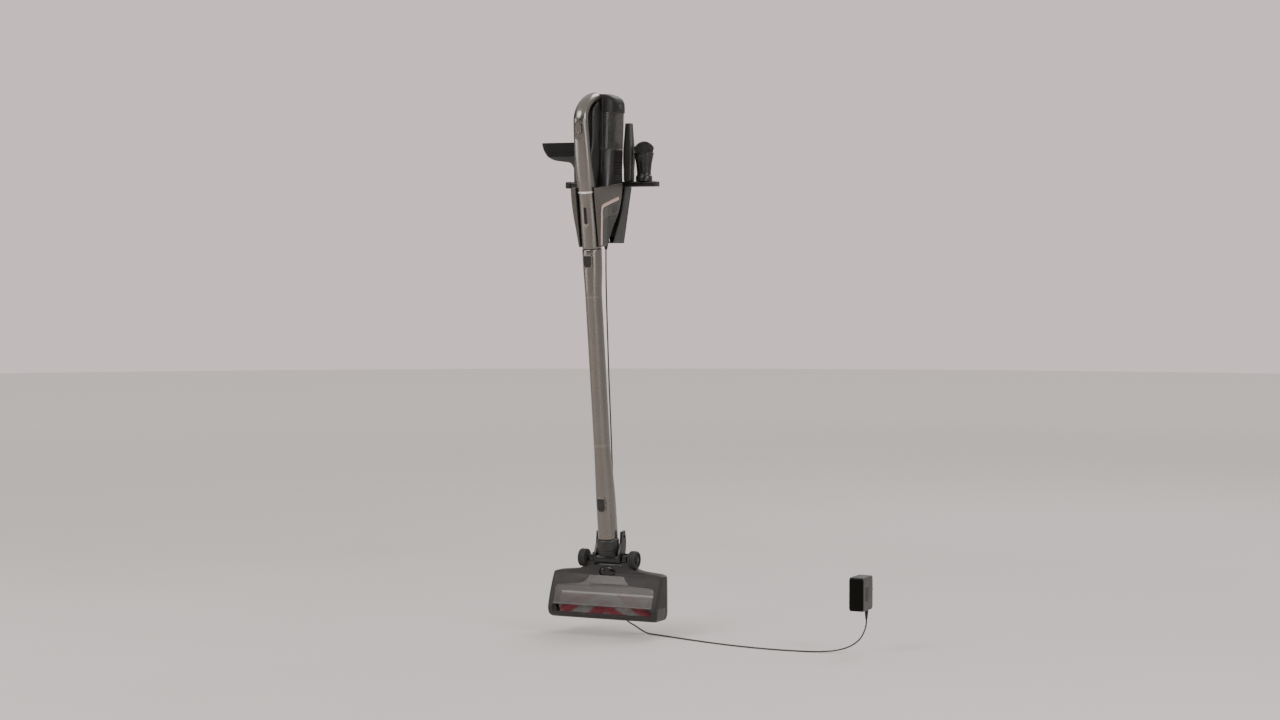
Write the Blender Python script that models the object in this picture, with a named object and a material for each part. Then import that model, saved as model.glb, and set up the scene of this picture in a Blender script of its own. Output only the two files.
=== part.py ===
"""Cordless stick vacuum hanging on its wall dock, with its tools, charging cord and plug-in charger.

Row frame: the origin is the centre of the dock's flat back face, the wall is the plane y = 0,
-Y points away from the wall, +X to the right of someone who faces it, and +Z up. Metres.

The vacuum leans: its spine and tube stand on one axis that tips LEAN away from the wall going up.
Pieces on that axis are children of the empty "lean_axis", whose own frame is (x, depth, height):
depth grows towards the wall, and height is 0 at the joint between spine and suction tube.
"""
import math

import bmesh
import bpy
from mathutils import Matrix, Vector

# Driving dimensions, in metres.
GAP = 0.0003
LEAN = math.radians(7.0)
SPINE_FOOT = (0.0, -0.133, -0.078)
CORNER_STEPS = 4

RAIL_Y = (-0.0340, -0.0080)
RAIL_Z = (0.0633, 0.0755)
RAIL_HALF = 0.112
NOZZLE_AT = (-0.084, -0.021)
CREVICE_AT = (0.039, -0.0185)
BRUSH_AT = (0.079, -0.0225)
PEG_HEIGHT = 0.012

CHANNEL_HALF = 0.0232
WEB_DEPTH = 0.0208
BATTERY_FRONT = 0.0235
CASING_TOP = 0.1385
BATTERY_TOP = 0.0968
BATTERY_SPLIT = 0.0697

BIN_Z = (0.1465, 0.2305)
LID_Z = 0.2310
LID_HINGE = (0.0, -0.0138, 0.2310)
UNIT_AXIS = (0.0, -0.0690, 0.0)

TUBE_BORE = 0.0125
SPIGOT_R = 0.0150
SOCKET_R = 0.0153

PIVOT = (0.0, -0.0435, -0.7910)
AXLE_R = 0.0040
AXLE_BORE = 0.0044
WHEEL_R = 0.0205
WHEEL_X = (0.0545, 0.0725)
SOLE_Y = -0.0230
BASE_Y = -0.0360
ROLL_AT = (-0.0475, -0.8980)
ROLL_R = 0.0245
MOTOR_AT = (-0.0475, -0.8500)
MOTOR_R = 0.0095
PULLEY_R = (0.0115, 0.0058)

GLAND_AT = (-0.0105, -0.0380)
CORD_D = 0.0035
CHARGER_X = (0.6020, 0.6360)
CHARGER_Y = (-0.0810, -0.0190)
CHARGER_Z = (-0.8720, -0.7970)
RELIEF_AT = (0.6235, -0.0270)
RELIEF_END = -0.8942


def clear_scene():
    for item in list(bpy.data.objects):
        bpy.data.objects.remove(item, do_unlink=True)


def material(name, colour, roughness, metallic=0.0):
    made = bpy.data.materials.new(name)
    made.use_nodes = True
    shader = made.node_tree.nodes["Principled BSDF"]
    shader.inputs["Base Color"].default_value = (*colour, 1.0)
    shader.inputs["Roughness"].default_value = roughness
    shader.inputs["Metallic"].default_value = metallic
    return made


def place(name, mesh_maker, finish, parent=None, origin=(0.0, 0.0, 0.0)):
    """Turn a bmesh into a named object whose own origin sits at origin in the parent's frame."""
    bmesh.ops.recalc_face_normals(mesh_maker, faces=mesh_maker.faces)
    bmesh.ops.translate(mesh_maker, vec=-Vector(origin), verts=mesh_maker.verts)
    mesh = bpy.data.meshes.new(name)
    mesh_maker.to_mesh(mesh)
    mesh_maker.free()
    mesh.shade_smooth()
    mesh.set_sharp_from_angle(angle=math.radians(32.0))
    made = bpy.data.objects.new(name, mesh)
    made.location = origin
    made.parent = parent
    bpy.context.scene.collection.objects.link(made)
    if finish is not None:
        made.data.materials.append(finish)
    return made


def frame_empty(name, location, tilt=0.0):
    made = bpy.data.objects.new(name, None)
    made.location = location
    made.rotation_euler = (tilt, 0.0, 0.0)
    bpy.context.scene.collection.objects.link(made)
    return made


def outline(half, front, rear, level, round_front, round_rear=None, middle=0.0):
    """Rounded rectangle in a level plane, from front to rear in depth and middle +- half across."""
    if round_rear is None:
        round_rear = round_front
    most = 0.98 * min(half, 0.5 * (rear - front))
    round_front = min(round_front, most)
    round_rear = min(round_rear, most)
    corners = (
        (1, rear - round_rear, round_rear, 0),
        (-1, rear - round_rear, round_rear, 90),
        (-1, front + round_front, round_front, 180),
        (1, front + round_front, round_front, 270),
    )
    points = []
    for side, depth, radius, start in corners:
        for step in range(CORNER_STEPS + 1):
            turn = math.radians(start + 90.0 * step / CORNER_STEPS)
            x = middle + side * (half - radius) + radius * math.cos(turn)
            points.append(Vector((x, depth + radius * math.sin(turn), level)))
    return points


def circle(radius, level, middle=(0.0, 0.0)):
    """Circle with as many points as outline(), so the two can be lofted together."""
    return outline(radius, middle[1] - radius, middle[1] + radius, level, radius, middle=middle[0])


def loft(name, rings, finish, parent=None, origin=(0.0, 0.0, 0.0), closed=False):
    """Skin a list of rings; the ends are capped, or joined to each other when closed."""
    maker = bmesh.new()
    rows = [[maker.verts.new(point) for point in ring] for ring in rings]
    pairs = list(zip(rows[:-1], rows[1:]))
    if closed:
        pairs.append((rows[-1], rows[0]))
    else:
        maker.faces.new(rows[0])
        maker.faces.new(rows[-1])
    for low, high in pairs:
        for index, corner in enumerate(low):
            after = (index + 1) % len(low)
            maker.faces.new((corner, low[after], high[after], high[index]))
    return place(name, maker, finish, parent, origin)


def turned(name, profile, finish, parent=None, centre=(0.0, 0.0, 0.0), axis="Z", segments=24,
           origin=None):
    """Spin a closed (radius, height) profile round an axis through centre."""
    maker = bmesh.new()
    rows = []
    for radius, height in profile:
        row = []
        for step in range(segments if radius > 0.0 else 1):
            turn = 2.0 * math.pi * step / segments
            flat = (radius * math.cos(turn), radius * math.sin(turn))
            if axis == "Z":
                point = Vector((flat[0], flat[1], height))
            elif axis == "X":
                point = Vector((height, flat[0], flat[1]))
            else:
                point = Vector((flat[1], height, flat[0]))
            row.append(maker.verts.new(point + Vector(centre)))
        rows.append(row)
    on_axis = profile[0][0] == 0.0
    pairs = list(zip(rows[:-1], rows[1:]))
    if not on_axis:
        pairs.append((rows[-1], rows[0]))
    for low, high in pairs:
        for step in range(segments):
            after = (step + 1) % segments
            if len(low) == 1:
                maker.faces.new((low[0], high[after], high[step]))
            elif len(high) == 1:
                maker.faces.new((low[step], low[after], high[0]))
            else:
                maker.faces.new((low[step], low[after], high[after], high[step]))
    return place(name, maker, finish, parent, centre if origin is None else origin)


def rod(name, radius, low, high, finish, parent=None, centre=(0.0, 0.0, 0.0), axis="Z",
        segments=20, edge=0.0004, origin=None):
    """Solid cylinder from low to high along an axis through centre, with broken edges."""
    profile = [(0.0, low), (radius - edge, low), (radius, low + edge), (radius, high - edge),
               (radius - edge, high), (0.0, high)]
    return turned(name, profile, finish, parent, centre, axis, segments, origin)


def block(name, low, high, finish, parent=None, edge=0.001, origin=None):
    """Box between two corners with chamfered edges."""
    low = Vector(low)
    high = Vector(high)
    maker = bmesh.new()
    bmesh.ops.create_cube(maker, size=1.0)
    for vert in maker.verts:
        vert.co = Vector([low[k] + (vert.co[k] + 0.5) * (high[k] - low[k]) for k in range(3)])
    if edge > 0.0:
        bmesh.ops.bevel(maker, geom=list(maker.edges), offset=edge, segments=1, affect="EDGES")
    return place(name, maker, finish, parent, (0.0, 0.0, 0.0) if origin is None else origin)


def boolean(target, tool, operation):
    """Cut a tool from a target, or join it on; the tool itself is a hidden guide."""
    tool.hide_render = True
    tool.display_type = "WIRE"
    change = target.modifiers.new(tool.name, "BOOLEAN")
    change.operation = operation
    change.solver = "EXACT"
    change.object = tool


def cut(target, tool):
    boolean(target, tool, "DIFFERENCE")


def join(target, tool):
    boolean(target, tool, "UNION")


def between(table, at):
    """Straight-line reading of a table of (position, value) pairs, sorted by position."""
    for (low, first), (high, second) in zip(table[:-1], table[1:]):
        if at <= high:
            share = (at - low) / (high - low)
            return first + share * (second - first)
    return table[-1][1]


def leaning(depth, height, x=0.0):
    """Row-frame place of a point given in the leaning frame."""
    return (Matrix.Rotation(LEAN, 3, "X") @ Vector((x, depth, height))) + Vector(SPINE_FOOT)


# ---------------------------------------------------------------- handle

SPINE = (
    # height, half width, front, rear, corner radius
    (0.0000, 0.0212, -0.0195, 0.0195, 0.0165),
    (0.0500, 0.0218, -0.0205, 0.0185, 0.0165),
    (0.0960, 0.0214, -0.0218, 0.0160, 0.0160),
    (0.1280, 0.0208, -0.0240, 0.0115, 0.0150),
    (0.1530, 0.0203, -0.0262, 0.0035, 0.0132),
    (0.1850, 0.0197, -0.0280, -0.0050, 0.0110),
    (0.2120, 0.0191, -0.0292, -0.0092, 0.0096),
    (0.2360, 0.0184, -0.0300, -0.0105, 0.0092),
    (0.2620, 0.0177, -0.0306, -0.0105, 0.0092),
    (0.2880, 0.0168, -0.0310, -0.0084, 0.0092),
)
ARCH_CENTRE = (0.0590, 0.2880)
ARCH_OUTER = (0.0900, 0.0600)
ARCH_INNER = (0.0674, 0.0400)
ARCH_STEPS = 8
ARCH_ROUND = 0.0092


def arch_ring(turn):
    """Cross-section of the arch, turn radians round from the front of the spine to its top."""
    depths = [ARCH_CENTRE[0] - radii[0] * math.cos(turn) for radii in (ARCH_OUTER, ARCH_INNER)]
    heights = [ARCH_CENTRE[1] + radii[1] * math.sin(turn) for radii in (ARCH_OUTER, ARCH_INNER)]
    outer = Vector((0.0, depths[0], heights[0]))
    inner = Vector((0.0, depths[1], heights[1]))
    thick = (inner - outer).length
    half = 0.0168 - 0.0038 * turn / (0.5 * math.pi)
    flat = outline(half, 0.0, thick, 0.0, ARCH_ROUND)
    step = (inner - outer) / thick
    return [outer + step * point.y + Vector((point.x, 0.0, 0.0)) for point in flat]


def spine_shell(lean, finish):
    bore_depth = 0.034
    rings = [circle(SOCKET_R, bore_depth), circle(SOCKET_R, 0.0)]
    for height, half, front, rear, radius in SPINE:
        rings.append(outline(half, front, rear, height, radius))
    for step in range(1, ARCH_STEPS + 1):
        rings.append(arch_ring(0.5 * math.pi * step / ARCH_STEPS))
    made = loft("spine_shell", rings, finish, lean)
    button_pocket = block("button_pocket", (-0.0078, -0.0400, 0.2505), (0.0078, -0.0252, 0.2872),
                          None, lean, edge=0.0030)
    cut(made, button_pocket)
    lens_pocket = block("lens_pocket", (-0.0036, -0.0400, 0.0576), (0.0036, -0.0185, 0.0944),
                        None, lean, edge=0.0012)
    cut(made, lens_pocket)
    return made


def power_button(lean, finish):
    return block("power_button", (-0.0066, -0.0319, 0.2615), (0.0066, -0.0268, 0.2850), finish,
                 lean, edge=0.0016, origin=(0.0, -0.0294, 0.2732))


def indicator_lens(lean, finish):
    return block("indicator_lens", (-0.0032, -0.0204, 0.0580), (0.0032, -0.0189, 0.0940), finish,
                 lean, edge=0.0006)


def trim_ring(lean, finish):
    """Bright band round the spine, a hair proud of it."""
    low, high = 0.1262, 0.1308
    rings = []
    for height, grow in ((low, 0.0011), (high, 0.0011), (high, 0.0004), (low, 0.0004)):
        half, front, rear, radius = (
            between([(row[0], row[column]) for row in SPINE], height) for column in (1, 2, 3, 4)
        )
        rings.append(outline(half + grow, front - grow, rear + grow, height, radius + grow))
    return loft("trim_ring", rings, finish, lean, closed=True)


BAR = (
    # height, front, rear
    (0.1400, 0.0094, 0.0226),
    (0.1530, 0.0044, 0.0262),
    (0.1850, -0.0042, 0.0345),
    (0.2050, -0.0070, 0.0395),
    (0.2180, 0.0004, 0.0410),
    (0.2350, 0.0080, 0.0438),
    (0.2650, 0.0145, 0.0484),
    (0.3000, 0.0185, 0.0545),
    (0.3150, 0.0235, 0.0565),
    (0.3255, 0.0440, 0.0570),
)


def handle_bar(lean, finish):
    """Inner bar of the loop handle, from the end of the arch down the back of the spine."""
    rings = [outline(0.0138, front, rear, height, 0.0030) for height, front, rear in BAR]
    return loft("handle_bar", rings, finish, lean)


# ---------------------------------------------------------------- power unit

CASING = (
    # height, half width, front, rear, rear corner radius
    (0.0040, 0.0275, -0.0105, 0.0285, 0.0030),
    (0.0400, 0.0310, -0.0125, 0.0590, 0.0110),
    (0.0740, 0.0345, -0.0150, 0.0895, 0.0130),
    (0.0970, 0.0360, -0.0165, 0.1020, 0.0140),
    (0.1165, 0.0365, -0.0175, 0.1090, 0.0140),
    (CASING_TOP, 0.0365, -0.0180, 0.1148, 0.0140),
)
POCKET = ((-0.0138, 0.0912), (0.0138, 0.1800))
STRIP_HALF = 0.0038


def casing_value(height, column):
    return between([(row[0], row[column]) for row in CASING], height)


def wedge_ring(height, front=None):
    half, casing_front, rear, radius = (casing_value(height, column) for column in (1, 2, 3, 4))
    start = casing_front if front is None else front
    return outline(half, start, rear, height, 0.0020 if front is None else 0.0010, radius)


def unit_casing(lean, finish):
    """Casing that wraps the spine with two cheeks and carries motor, bin and battery."""
    made = loft("unit_casing", [wedge_ring(row[0]) for row in CASING], finish, lean)
    cut(made, block("spine_channel", (-CHANNEL_HALF, -0.0600, -0.0200),
                    (CHANNEL_HALF, WEB_DEPTH, 0.1600), None, lean, edge=0.0))
    cut(made, block("battery_bay", (-0.0600, BATTERY_FRONT - GAP, -0.0200),
                    (0.0600, 0.2000, BATTERY_TOP + GAP), None, lean, edge=0.0))
    cut(made, block("dock_pocket", (POCKET[0][0], POCKET[0][1], 0.0800),
                    (POCKET[1][0], POCKET[1][1], 0.1180), None, lean, edge=0.0))
    return made


def accent_strip(side, lean, finish):
    """Thin bright strip: up the front corner of the casing, then back across its side."""
    route = [(-0.0040, 0.0080), (-0.0058, 0.0400), (-0.0080, 0.0740), (-0.0084, 0.0850),
             (-0.0056, 0.0925), (0.0010, 0.0968), (0.0330, 0.1010), (0.0780, 0.1062)]
    rings = []
    for index, (depth, height) in enumerate(route):
        before = route[max(index - 1, 0)]
        after = route[min(index + 1, len(route) - 1)]
        along = Vector((0.0, after[0] - before[0], after[1] - before[1])).normalized()
        across = Vector((0.0, along.z, -along.y)) * STRIP_HALF
        face = casing_value(height, 1) + GAP
        middle = Vector((0.0, depth, height))
        inner = Vector((side * face, 0.0, 0.0))
        outer = Vector((side * (face + 0.0007), 0.0, 0.0))
        rings.append([middle + across + inner, middle + across + outer,
                      middle - across + outer, middle - across + inner])
    name = "accent_strip_right" if side > 0 else "accent_strip_left"
    return loft(name, rings, finish, lean)


def battery_pack(lean, finish):
    heights = (0.0045, 0.0200, 0.0400, BATTERY_SPLIT)
    return loft("battery_pack", [wedge_ring(h, BATTERY_FRONT) for h in heights], finish, lean)


def battery_cap(lean, finish):
    heights = (BATTERY_SPLIT + GAP, 0.0830, BATTERY_TOP)
    made = loft("battery_cap", [wedge_ring(h, BATTERY_FRONT) for h in heights], finish, lean)
    cut(made, block("cap_pocket", (POCKET[0][0], POCKET[0][1], 0.0500),
                    (POCKET[1][0], POCKET[1][1], 0.1200), None, lean, edge=0.0))
    for side in (-1, 1):
        face = casing_value(0.0830, 1)
        ends = sorted((side * (face - 0.0045), side * (face + 0.0100)))
        name = "release_pocket_right" if side > 0 else "release_pocket_left"
        cut(made, block(name, (ends[0], 0.0490, 0.0756), (ends[1], 0.0710, 0.0904), None, lean,
                        edge=0.0))
    return made


def battery_release(side, lean, finish):
    face = casing_value(0.0830, 1)
    ends = sorted((side * (face - 0.0022), side * (face + 0.0008)))
    name = "battery_release_right" if side > 0 else "battery_release_left"
    return block(name, (ends[0], 0.0494, 0.0760), (ends[1], 0.0706, 0.0900), finish, lean,
                 edge=0.0008, origin=(side * face, 0.0600, 0.0830))


UNIT = (
    # row-frame height, half width, front, rear, front corner radius, rear corner radius
    (0.1000, 0.0368, -0.1200, -0.0285, 0.0260, 0.0280),
    (0.1462, 0.0375, -0.1166, -0.0212, 0.0300, 0.0340),
    (0.1900, 0.0386, -0.1150, -0.0196, 0.0310, 0.0345),
    (0.2310, 0.0398, -0.1138, -0.0180, 0.0320, 0.0350),
)


def unit_ring(height, shrink=0.0):
    half, front, rear, round_front, round_rear = (
        between([(row[0], row[column]) for row in UNIT], height) for column in range(1, 6)
    )
    return outline(half - shrink, front + shrink, rear - shrink, height,
                   round_front - shrink, round_rear - shrink)


def motor_housing(finish):
    """Open cup over the casing: its foot lies in the leaning plane of the casing's top."""
    foot = outline(0.0363, 0.0250, 0.1140, CASING_TOP + GAP, 0.0140)
    floor = outline(0.0340, 0.0275, 0.1110, CASING_TOP + 0.0028, 0.0130)
    wall = 0.0022
    rings = [[leaning(point.y, point.z, point.x) for point in foot]]
    rings += [unit_ring(0.1000), unit_ring(0.1250), unit_ring(0.1462)]
    rings += [unit_ring(0.1462, wall), unit_ring(0.1250, wall), unit_ring(0.1000, wall)]
    rings.append([leaning(point.y, point.z, point.x) for point in floor])
    return loft("motor_housing", rings, finish)


def motor_can(finish):
    return turned("motor_can", [(0.0, 0.0770), (0.022, 0.0770), (0.024, 0.0790), (0.024, 0.118),
                                (0.0215, 0.121), (0.006, 0.121), (0.006, 0.123), (0.0, 0.123)],
                  finish, centre=UNIT_AXIS, segments=20)


def impeller(finish):
    return turned("impeller", [(0.0, 0.1236), (0.022, 0.1236), (0.0225, 0.1262), (0.009, 0.1330),
                               (0.0065, 0.1400), (0.0, 0.1410)],
                  finish, centre=UNIT_AXIS, segments=16)


def dust_bin(finish):
    wall = 0.0018
    low, high = BIN_Z
    rings = [unit_ring(low), unit_ring(0.1900), unit_ring(high)]
    rings += [unit_ring(high, wall), unit_ring(0.1900, wall), unit_ring(low + 0.0025, wall)]
    made = loft("dust_bin", rings, finish)
    for side in (-1, 1):
        name = "right" if side > 0 else "left"
        ends = sorted((side * 0.0094, side * 0.0150))
        join(made, hinge_roll("bin_ear_" + name, *ends))
        join(made, block("ear_root_" + name, (ends[0] + 0.0004, -0.0207, 0.2290),
                         (ends[1] - 0.0004, -0.0140, 0.2303), None, edge=0.0))
    cut(made, hinge_bore("ear_bore"))
    return made


def hinge_roll(name, low, high):
    return rod(name, 0.0022, low, high, None, centre=LID_HINGE, axis="X", segments=16, edge=0.0002)


def hinge_bore(name):
    return rod(name, 0.0015, -0.0300, 0.0300, None, centre=LID_HINGE, axis="X", segments=12,
               edge=0.0002)


def cyclone_cone(finish):
    return turned("cyclone_cone", [(0.0, 0.1494), (0.0130, 0.1494), (0.0150, 0.1560),
                                   (0.0210, 0.1850), (0.0235, 0.2290), (0.0, 0.2290)],
                  finish, centre=UNIT_AXIS, segments=20)


def mesh_screen(finish):
    return turned("mesh_screen", [(0.0262, 0.1900), (0.0275, 0.1900), (0.0275, 0.2260),
                                  (0.0262, 0.2260)], finish, centre=UNIT_AXIS, segments=24)


LID = (
    # row-frame height, half width, front, rear, corner radius
    (LID_Z, 0.0402, -0.1136, -0.0165, 0.0330),
    (0.2500, 0.0398, -0.1130, -0.0172, 0.0330),
    (0.2610, 0.0370, -0.1122, -0.0225, 0.0320),
    (0.2680, 0.0310, -0.1105, -0.0350, 0.0290),
    (0.2715, 0.0220, -0.1060, -0.0520, 0.0210),
)


def bin_lid(finish):
    wall = 0.0024
    rings = [outline(half, front, rear, height, radius)
             for height, half, front, rear, radius in reversed(LID)]
    rings += [outline(0.0402 - wall, -0.1136 + wall, -0.0165 - wall, LID_Z, 0.0306),
              outline(0.0385 - wall, -0.1120 + wall, -0.0200 - wall, 0.2580, 0.0290)]
    made = loft("bin_lid", rings, finish, origin=LID_HINGE)
    cut(made, block("latch_pocket", (0.0386, -0.0790, 0.2376), (0.0500, -0.0590, 0.2484), None,
                    edge=0.0))
    join(made, hinge_roll("lid_knuckle", -0.0090, 0.0090))
    join(made, block("knuckle_root", (-0.0085, -0.0180, 0.2314), (0.0085, -0.0140, 0.2328), None,
                     edge=0.0))
    cut(made, hinge_bore("knuckle_bore"))
    return made


def lid_hinge_pin(finish):
    return rod("lid_hinge_pin", 0.0012, -0.0152, 0.0152, finish, centre=LID_HINGE, axis="X",
               segments=12, edge=0.0002)


def lid_latch(finish):
    return block("lid_latch", (0.0396, -0.0786, 0.2380), (0.0412, -0.0594, 0.2480), finish,
                 edge=0.0005, origin=(0.0404, -0.0690, 0.2430))


def fine_filter(finish):
    return turned("fine_filter", [(0.0, 0.2345), (0.0270, 0.2345), (0.0280, 0.2355),
                                  (0.0280, 0.2540), (0.0270, 0.2550), (0.0, 0.2550)],
                  finish, centre=UNIT_AXIS, segments=24, origin=LID_HINGE)


# ---------------------------------------------------------------- suction tube

TUBE = (
    # height, half width, front, rear, corner radius
    (-0.0006, 0.0213, -0.0203, 0.0195, 0.0165),
    (-0.0450, 0.0205, -0.0218, 0.0182, 0.0162),
    (-0.0800, 0.0187, -0.0232, 0.0158, 0.0160),
    (-0.1040, 0.0176, -0.0240, 0.0145, 0.0158),
    (-0.4540, 0.0172, -0.0236, 0.0145, 0.0158),
    (-0.4900, 0.0181, -0.0230, 0.0158, 0.0162),
    (-0.5300, 0.0196, -0.0225, 0.0186, 0.0175),
    (-0.5830, 0.0210, -0.0222, 0.0208, 0.0200),
    (-0.6700, 0.0215, -0.0215, 0.0215, 0.0210),
)
UPPER_BUTTON = ((-0.0092, -0.0405), (0.0092, -0.0155))
LOWER_BUTTON = ((-0.0088, -0.6030), (0.0088, -0.5740))


def suction_tube(lean, finish):
    """Open pipe with a spigot up into the spine and a socket for the head's neck below."""
    socket_top = -0.6600
    spigot_top = 0.0300
    rings = [circle(SPIGOT_R, spigot_top), circle(SPIGOT_R, TUBE[0][0])]
    for height, half, front, rear, radius in TUBE:
        rings.append(outline(half, front, rear, height, radius))
    rings += [circle(SOCKET_R + GAP, TUBE[-1][0]), circle(SOCKET_R + GAP, socket_top)]
    rings += [circle(TUBE_BORE, socket_top), circle(TUBE_BORE, spigot_top)]
    made = loft("suction_tube", rings, finish, lean, closed=True)
    for name, shape in (("upper_pocket", UPPER_BUTTON), ("lower_pocket", LOWER_BUTTON)):
        low, high = shape
        cut(made, block(name, (low[0] - 0.0004, -0.0400, low[1] - 0.0004),
                        (high[0] + 0.0004, -0.0178, high[1] + 0.0004), None, lean, edge=0.0))
    return made


def tube_button(name, shape, lean, finish):
    low, high = shape
    middle = (0.0, -0.0215, 0.5 * (low[1] + high[1]))
    return block(name, (low[0], -0.0234, low[1]), (high[0], -0.0196, high[1]), finish, lean,
                 edge=0.0012, origin=middle)


def cable_channel(lean, finish):
    rings = [outline(0.0085, 0.0148, 0.0205, -0.1090, 0.0030),
             outline(0.0090, 0.0148, 0.0235, -0.1200, 0.0030),
             outline(0.0090, 0.0148, 0.0235, -0.4440, 0.0030),
             outline(0.0085, 0.0148, 0.0205, -0.4530, 0.0030)]
    return loft("cable_channel", rings, finish, lean)


def tube_plug_housing(lean, finish):
    rings = [outline(0.0090, 0.0172, 0.0200, -0.5000, 0.0020),
             outline(0.0110, 0.0190, 0.0262, -0.5300, 0.0030),
             outline(0.0115, 0.0212, 0.0288, -0.5830, 0.0030),
             outline(0.0110, 0.0218, 0.0265, -0.6260, 0.0020)]
    return loft("tube_plug_housing", rings, finish, lean)


# ---------------------------------------------------------------- neck

COLLAR_TOP = -0.6706
COLLAR_FOOT = -0.6962
STRUT = (
    # height, front, rear
    (-0.7265, -0.0085, 0.0125),
    (-0.7120, -0.0115, 0.0210),
    (-0.6800, 0.0040, 0.0290),
    (-0.6560, 0.0100, 0.0270),
)


def neck_collar(lean, finish):
    spigot_top = -0.6618
    profile = [(TUBE_BORE, spigot_top), (SPIGOT_R, spigot_top), (SPIGOT_R, COLLAR_TOP),
               (0.0235, COLLAR_TOP), (0.0258, -0.6740), (0.0260, -0.6930), (0.0252, COLLAR_FOOT),
               (TUBE_BORE, COLLAR_FOOT)]
    return turned("neck_collar", profile, finish, lean)


def neck_elbow(lean, finish):
    """Swivel part of the neck: ring, pivot barrel and the two side struts, in one moulding."""
    profile = [(TUBE_BORE, COLLAR_FOOT - GAP), (0.0250, COLLAR_FOOT - GAP), (0.0254, -0.6990),
               (0.0245, -0.7035), (TUBE_BORE, -0.7035)]
    made = turned("neck_elbow", profile, finish, lean)
    depth, height = 0.0019, -0.7186
    join(made, block("elbow_web", (-0.0225, -0.0085, height), (0.0225, 0.0125, -0.7020), None,
                     lean, edge=0.0))
    join(made, rod("pivot_barrel", 0.0125, -0.0300, 0.0300, None, lean,
                   centre=(0.0, depth, height), axis="X"))
    for side in (-1, 1):
        name = "strut_right" if side > 0 else "strut_left"
        rings = [outline(0.0030, front, rear, level, 0.0015, middle=side * 0.0305)
                 for level, front, rear in STRUT]
        join(made, loft(name, rings, None, lean))
    cut(made, rod("barrel_bore", AXLE_BORE, -0.0500, 0.0500, None, lean,
                  centre=(0.0, depth, height), axis="X", segments=16))
    for name, low, high in (("hole_left", -0.0500, -0.0272), ("hole_right", 0.0272, 0.0500)):
        cut(made, rod(name, 0.0035, low, high, None, lean, centre=(0.0, 0.0190, -0.6690),
                      axis="X", segments=12))
    return made


# ---------------------------------------------------------------- floor head

HEAD = (
    # height, half width
    (-0.9270, 0.1340),
    (-0.9200, 0.1380),
    (-0.9080, 0.1400),
    (-0.8400, 0.1395),
    (-0.8270, 0.1385),
    (-0.8225, 0.1300),
    (-0.8195, 0.0950),
    (-0.8165, 0.0660),
    (-0.8130, 0.0540),
    (-0.8060, 0.0515),
    (-0.7975, 0.0500),
)
COVER_FRONT = ((-0.9270, -0.0760), (-0.9200, -0.0835), (-0.9080, -0.0850), (-0.8945, -0.0822),
               (-0.8520, -0.0665), (-0.8260, -0.0550), (-0.7975, -0.0505))
WINDOW_Z = (-0.8940, -0.8520, -0.8290)
WINDOW_HALF = (0.1258, 0.1258, 0.0440)
SLOT_Z = (-0.9135, -0.8972)
NOTCH_HALF = 0.0345
NOTCH_Z = -0.8060


def head_rings(rear, front=None):
    """Rings of the head's outline from its front edge up to its neck."""
    rings = []
    for height in sorted({row[0] for row in HEAD + COVER_FRONT}):
        depth = between(COVER_FRONT, height) if front is None else front
        rings.append(outline(between(HEAD, height), depth, rear, height, 0.0060, 0.0010))
    return rings


def head_notch(name):
    """Room at the middle of the head's rear edge for the neck to swing in."""
    return block(name, (-NOTCH_HALF, -0.1200, NOTCH_Z), (NOTCH_HALF, 0.0500, -0.7000), None,
                 edge=0.0)


def head_cover(finish):
    made = loft("head_cover", head_rings(BASE_Y - GAP), finish, origin=PIVOT)
    wall = 0.0025
    inner = []
    for height in (-0.9246, -0.9200, -0.9080, -0.8945, -0.8520, -0.8290):
        depth = between(COVER_FRONT, height) + wall
        inner.append(outline(between(HEAD, height) - wall, depth, 0.0, height, 0.0040, 0.0010))
    cut(made, loft("cover_hollow", inner, None))
    cut(made, head_notch("cover_notch"))
    cut(made, window_shape("window_cutter", 0.0004, -0.0100, 0.0100))
    cut(made, block("slot_cutter", (-0.1265, -0.1200, SLOT_Z[0]), (0.1265, -0.0600, SLOT_Z[1]),
                    None, edge=0.0))
    return made


def window_shape(name, grow, outer, inner, finish=None, origin=(0.0, 0.0, 0.0)):
    """Slanted pane over the roller, with a raised middle; outer and inner are depths from the face."""
    rings = []
    stations = [(WINDOW_Z[0] - 2.0 * grow, WINDOW_HALF[0]), (WINDOW_Z[1] - 0.0060, WINDOW_HALF[1]),
                (WINDOW_Z[1], WINDOW_HALF[1] - 0.0080), (WINDOW_Z[1] + 0.0030, 0.0720),
                (WINDOW_Z[1] + 0.0090, 0.0500), (WINDOW_Z[2], WINDOW_HALF[2])]
    for height, half in stations:
        level = height + grow
        face = between(COVER_FRONT, level)
        rings.append(outline(half + grow, face + outer, face + inner, level, 0.0004))
    return loft(name, rings, finish, origin=origin)


def head_window(finish):
    return window_shape("head_window", 0.0, 0.0002, 0.0022, finish, PIVOT)


def head_base(finish):
    """Sole of the head with the roller's opening and the two lugs of the pivot."""
    made = loft("head_base", head_rings(SOLE_Y, BASE_Y), finish, origin=PIVOT)
    cut(made, block("roller_opening", (-0.1325, -0.0800, -0.9236), (0.1325, 0.0200, -0.8720), None,
                    edge=0.0))
    cut(made, head_notch("base_notch"))
    for side in (-1, 1):
        ends = sorted((side * 0.0350, side * 0.0480))
        name = "lug_right" if side > 0 else "lug_left"
        join(made, block(name, (ends[0], -0.0355, -0.8200), (ends[1], -0.0240, -0.7790), None,
                         edge=0.0))
        name = "lug_nose_right" if side > 0 else "lug_nose_left"
        join(made, block(name, (ends[0], -0.0520, -0.7970), (ends[1], -0.0300, -0.7820), None,
                         edge=0.0))
    cut(made, rod("lug_bore", AXLE_BORE, -0.0700, 0.0700, None, centre=PIVOT, axis="X",
                  segments=16))
    return made


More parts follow.
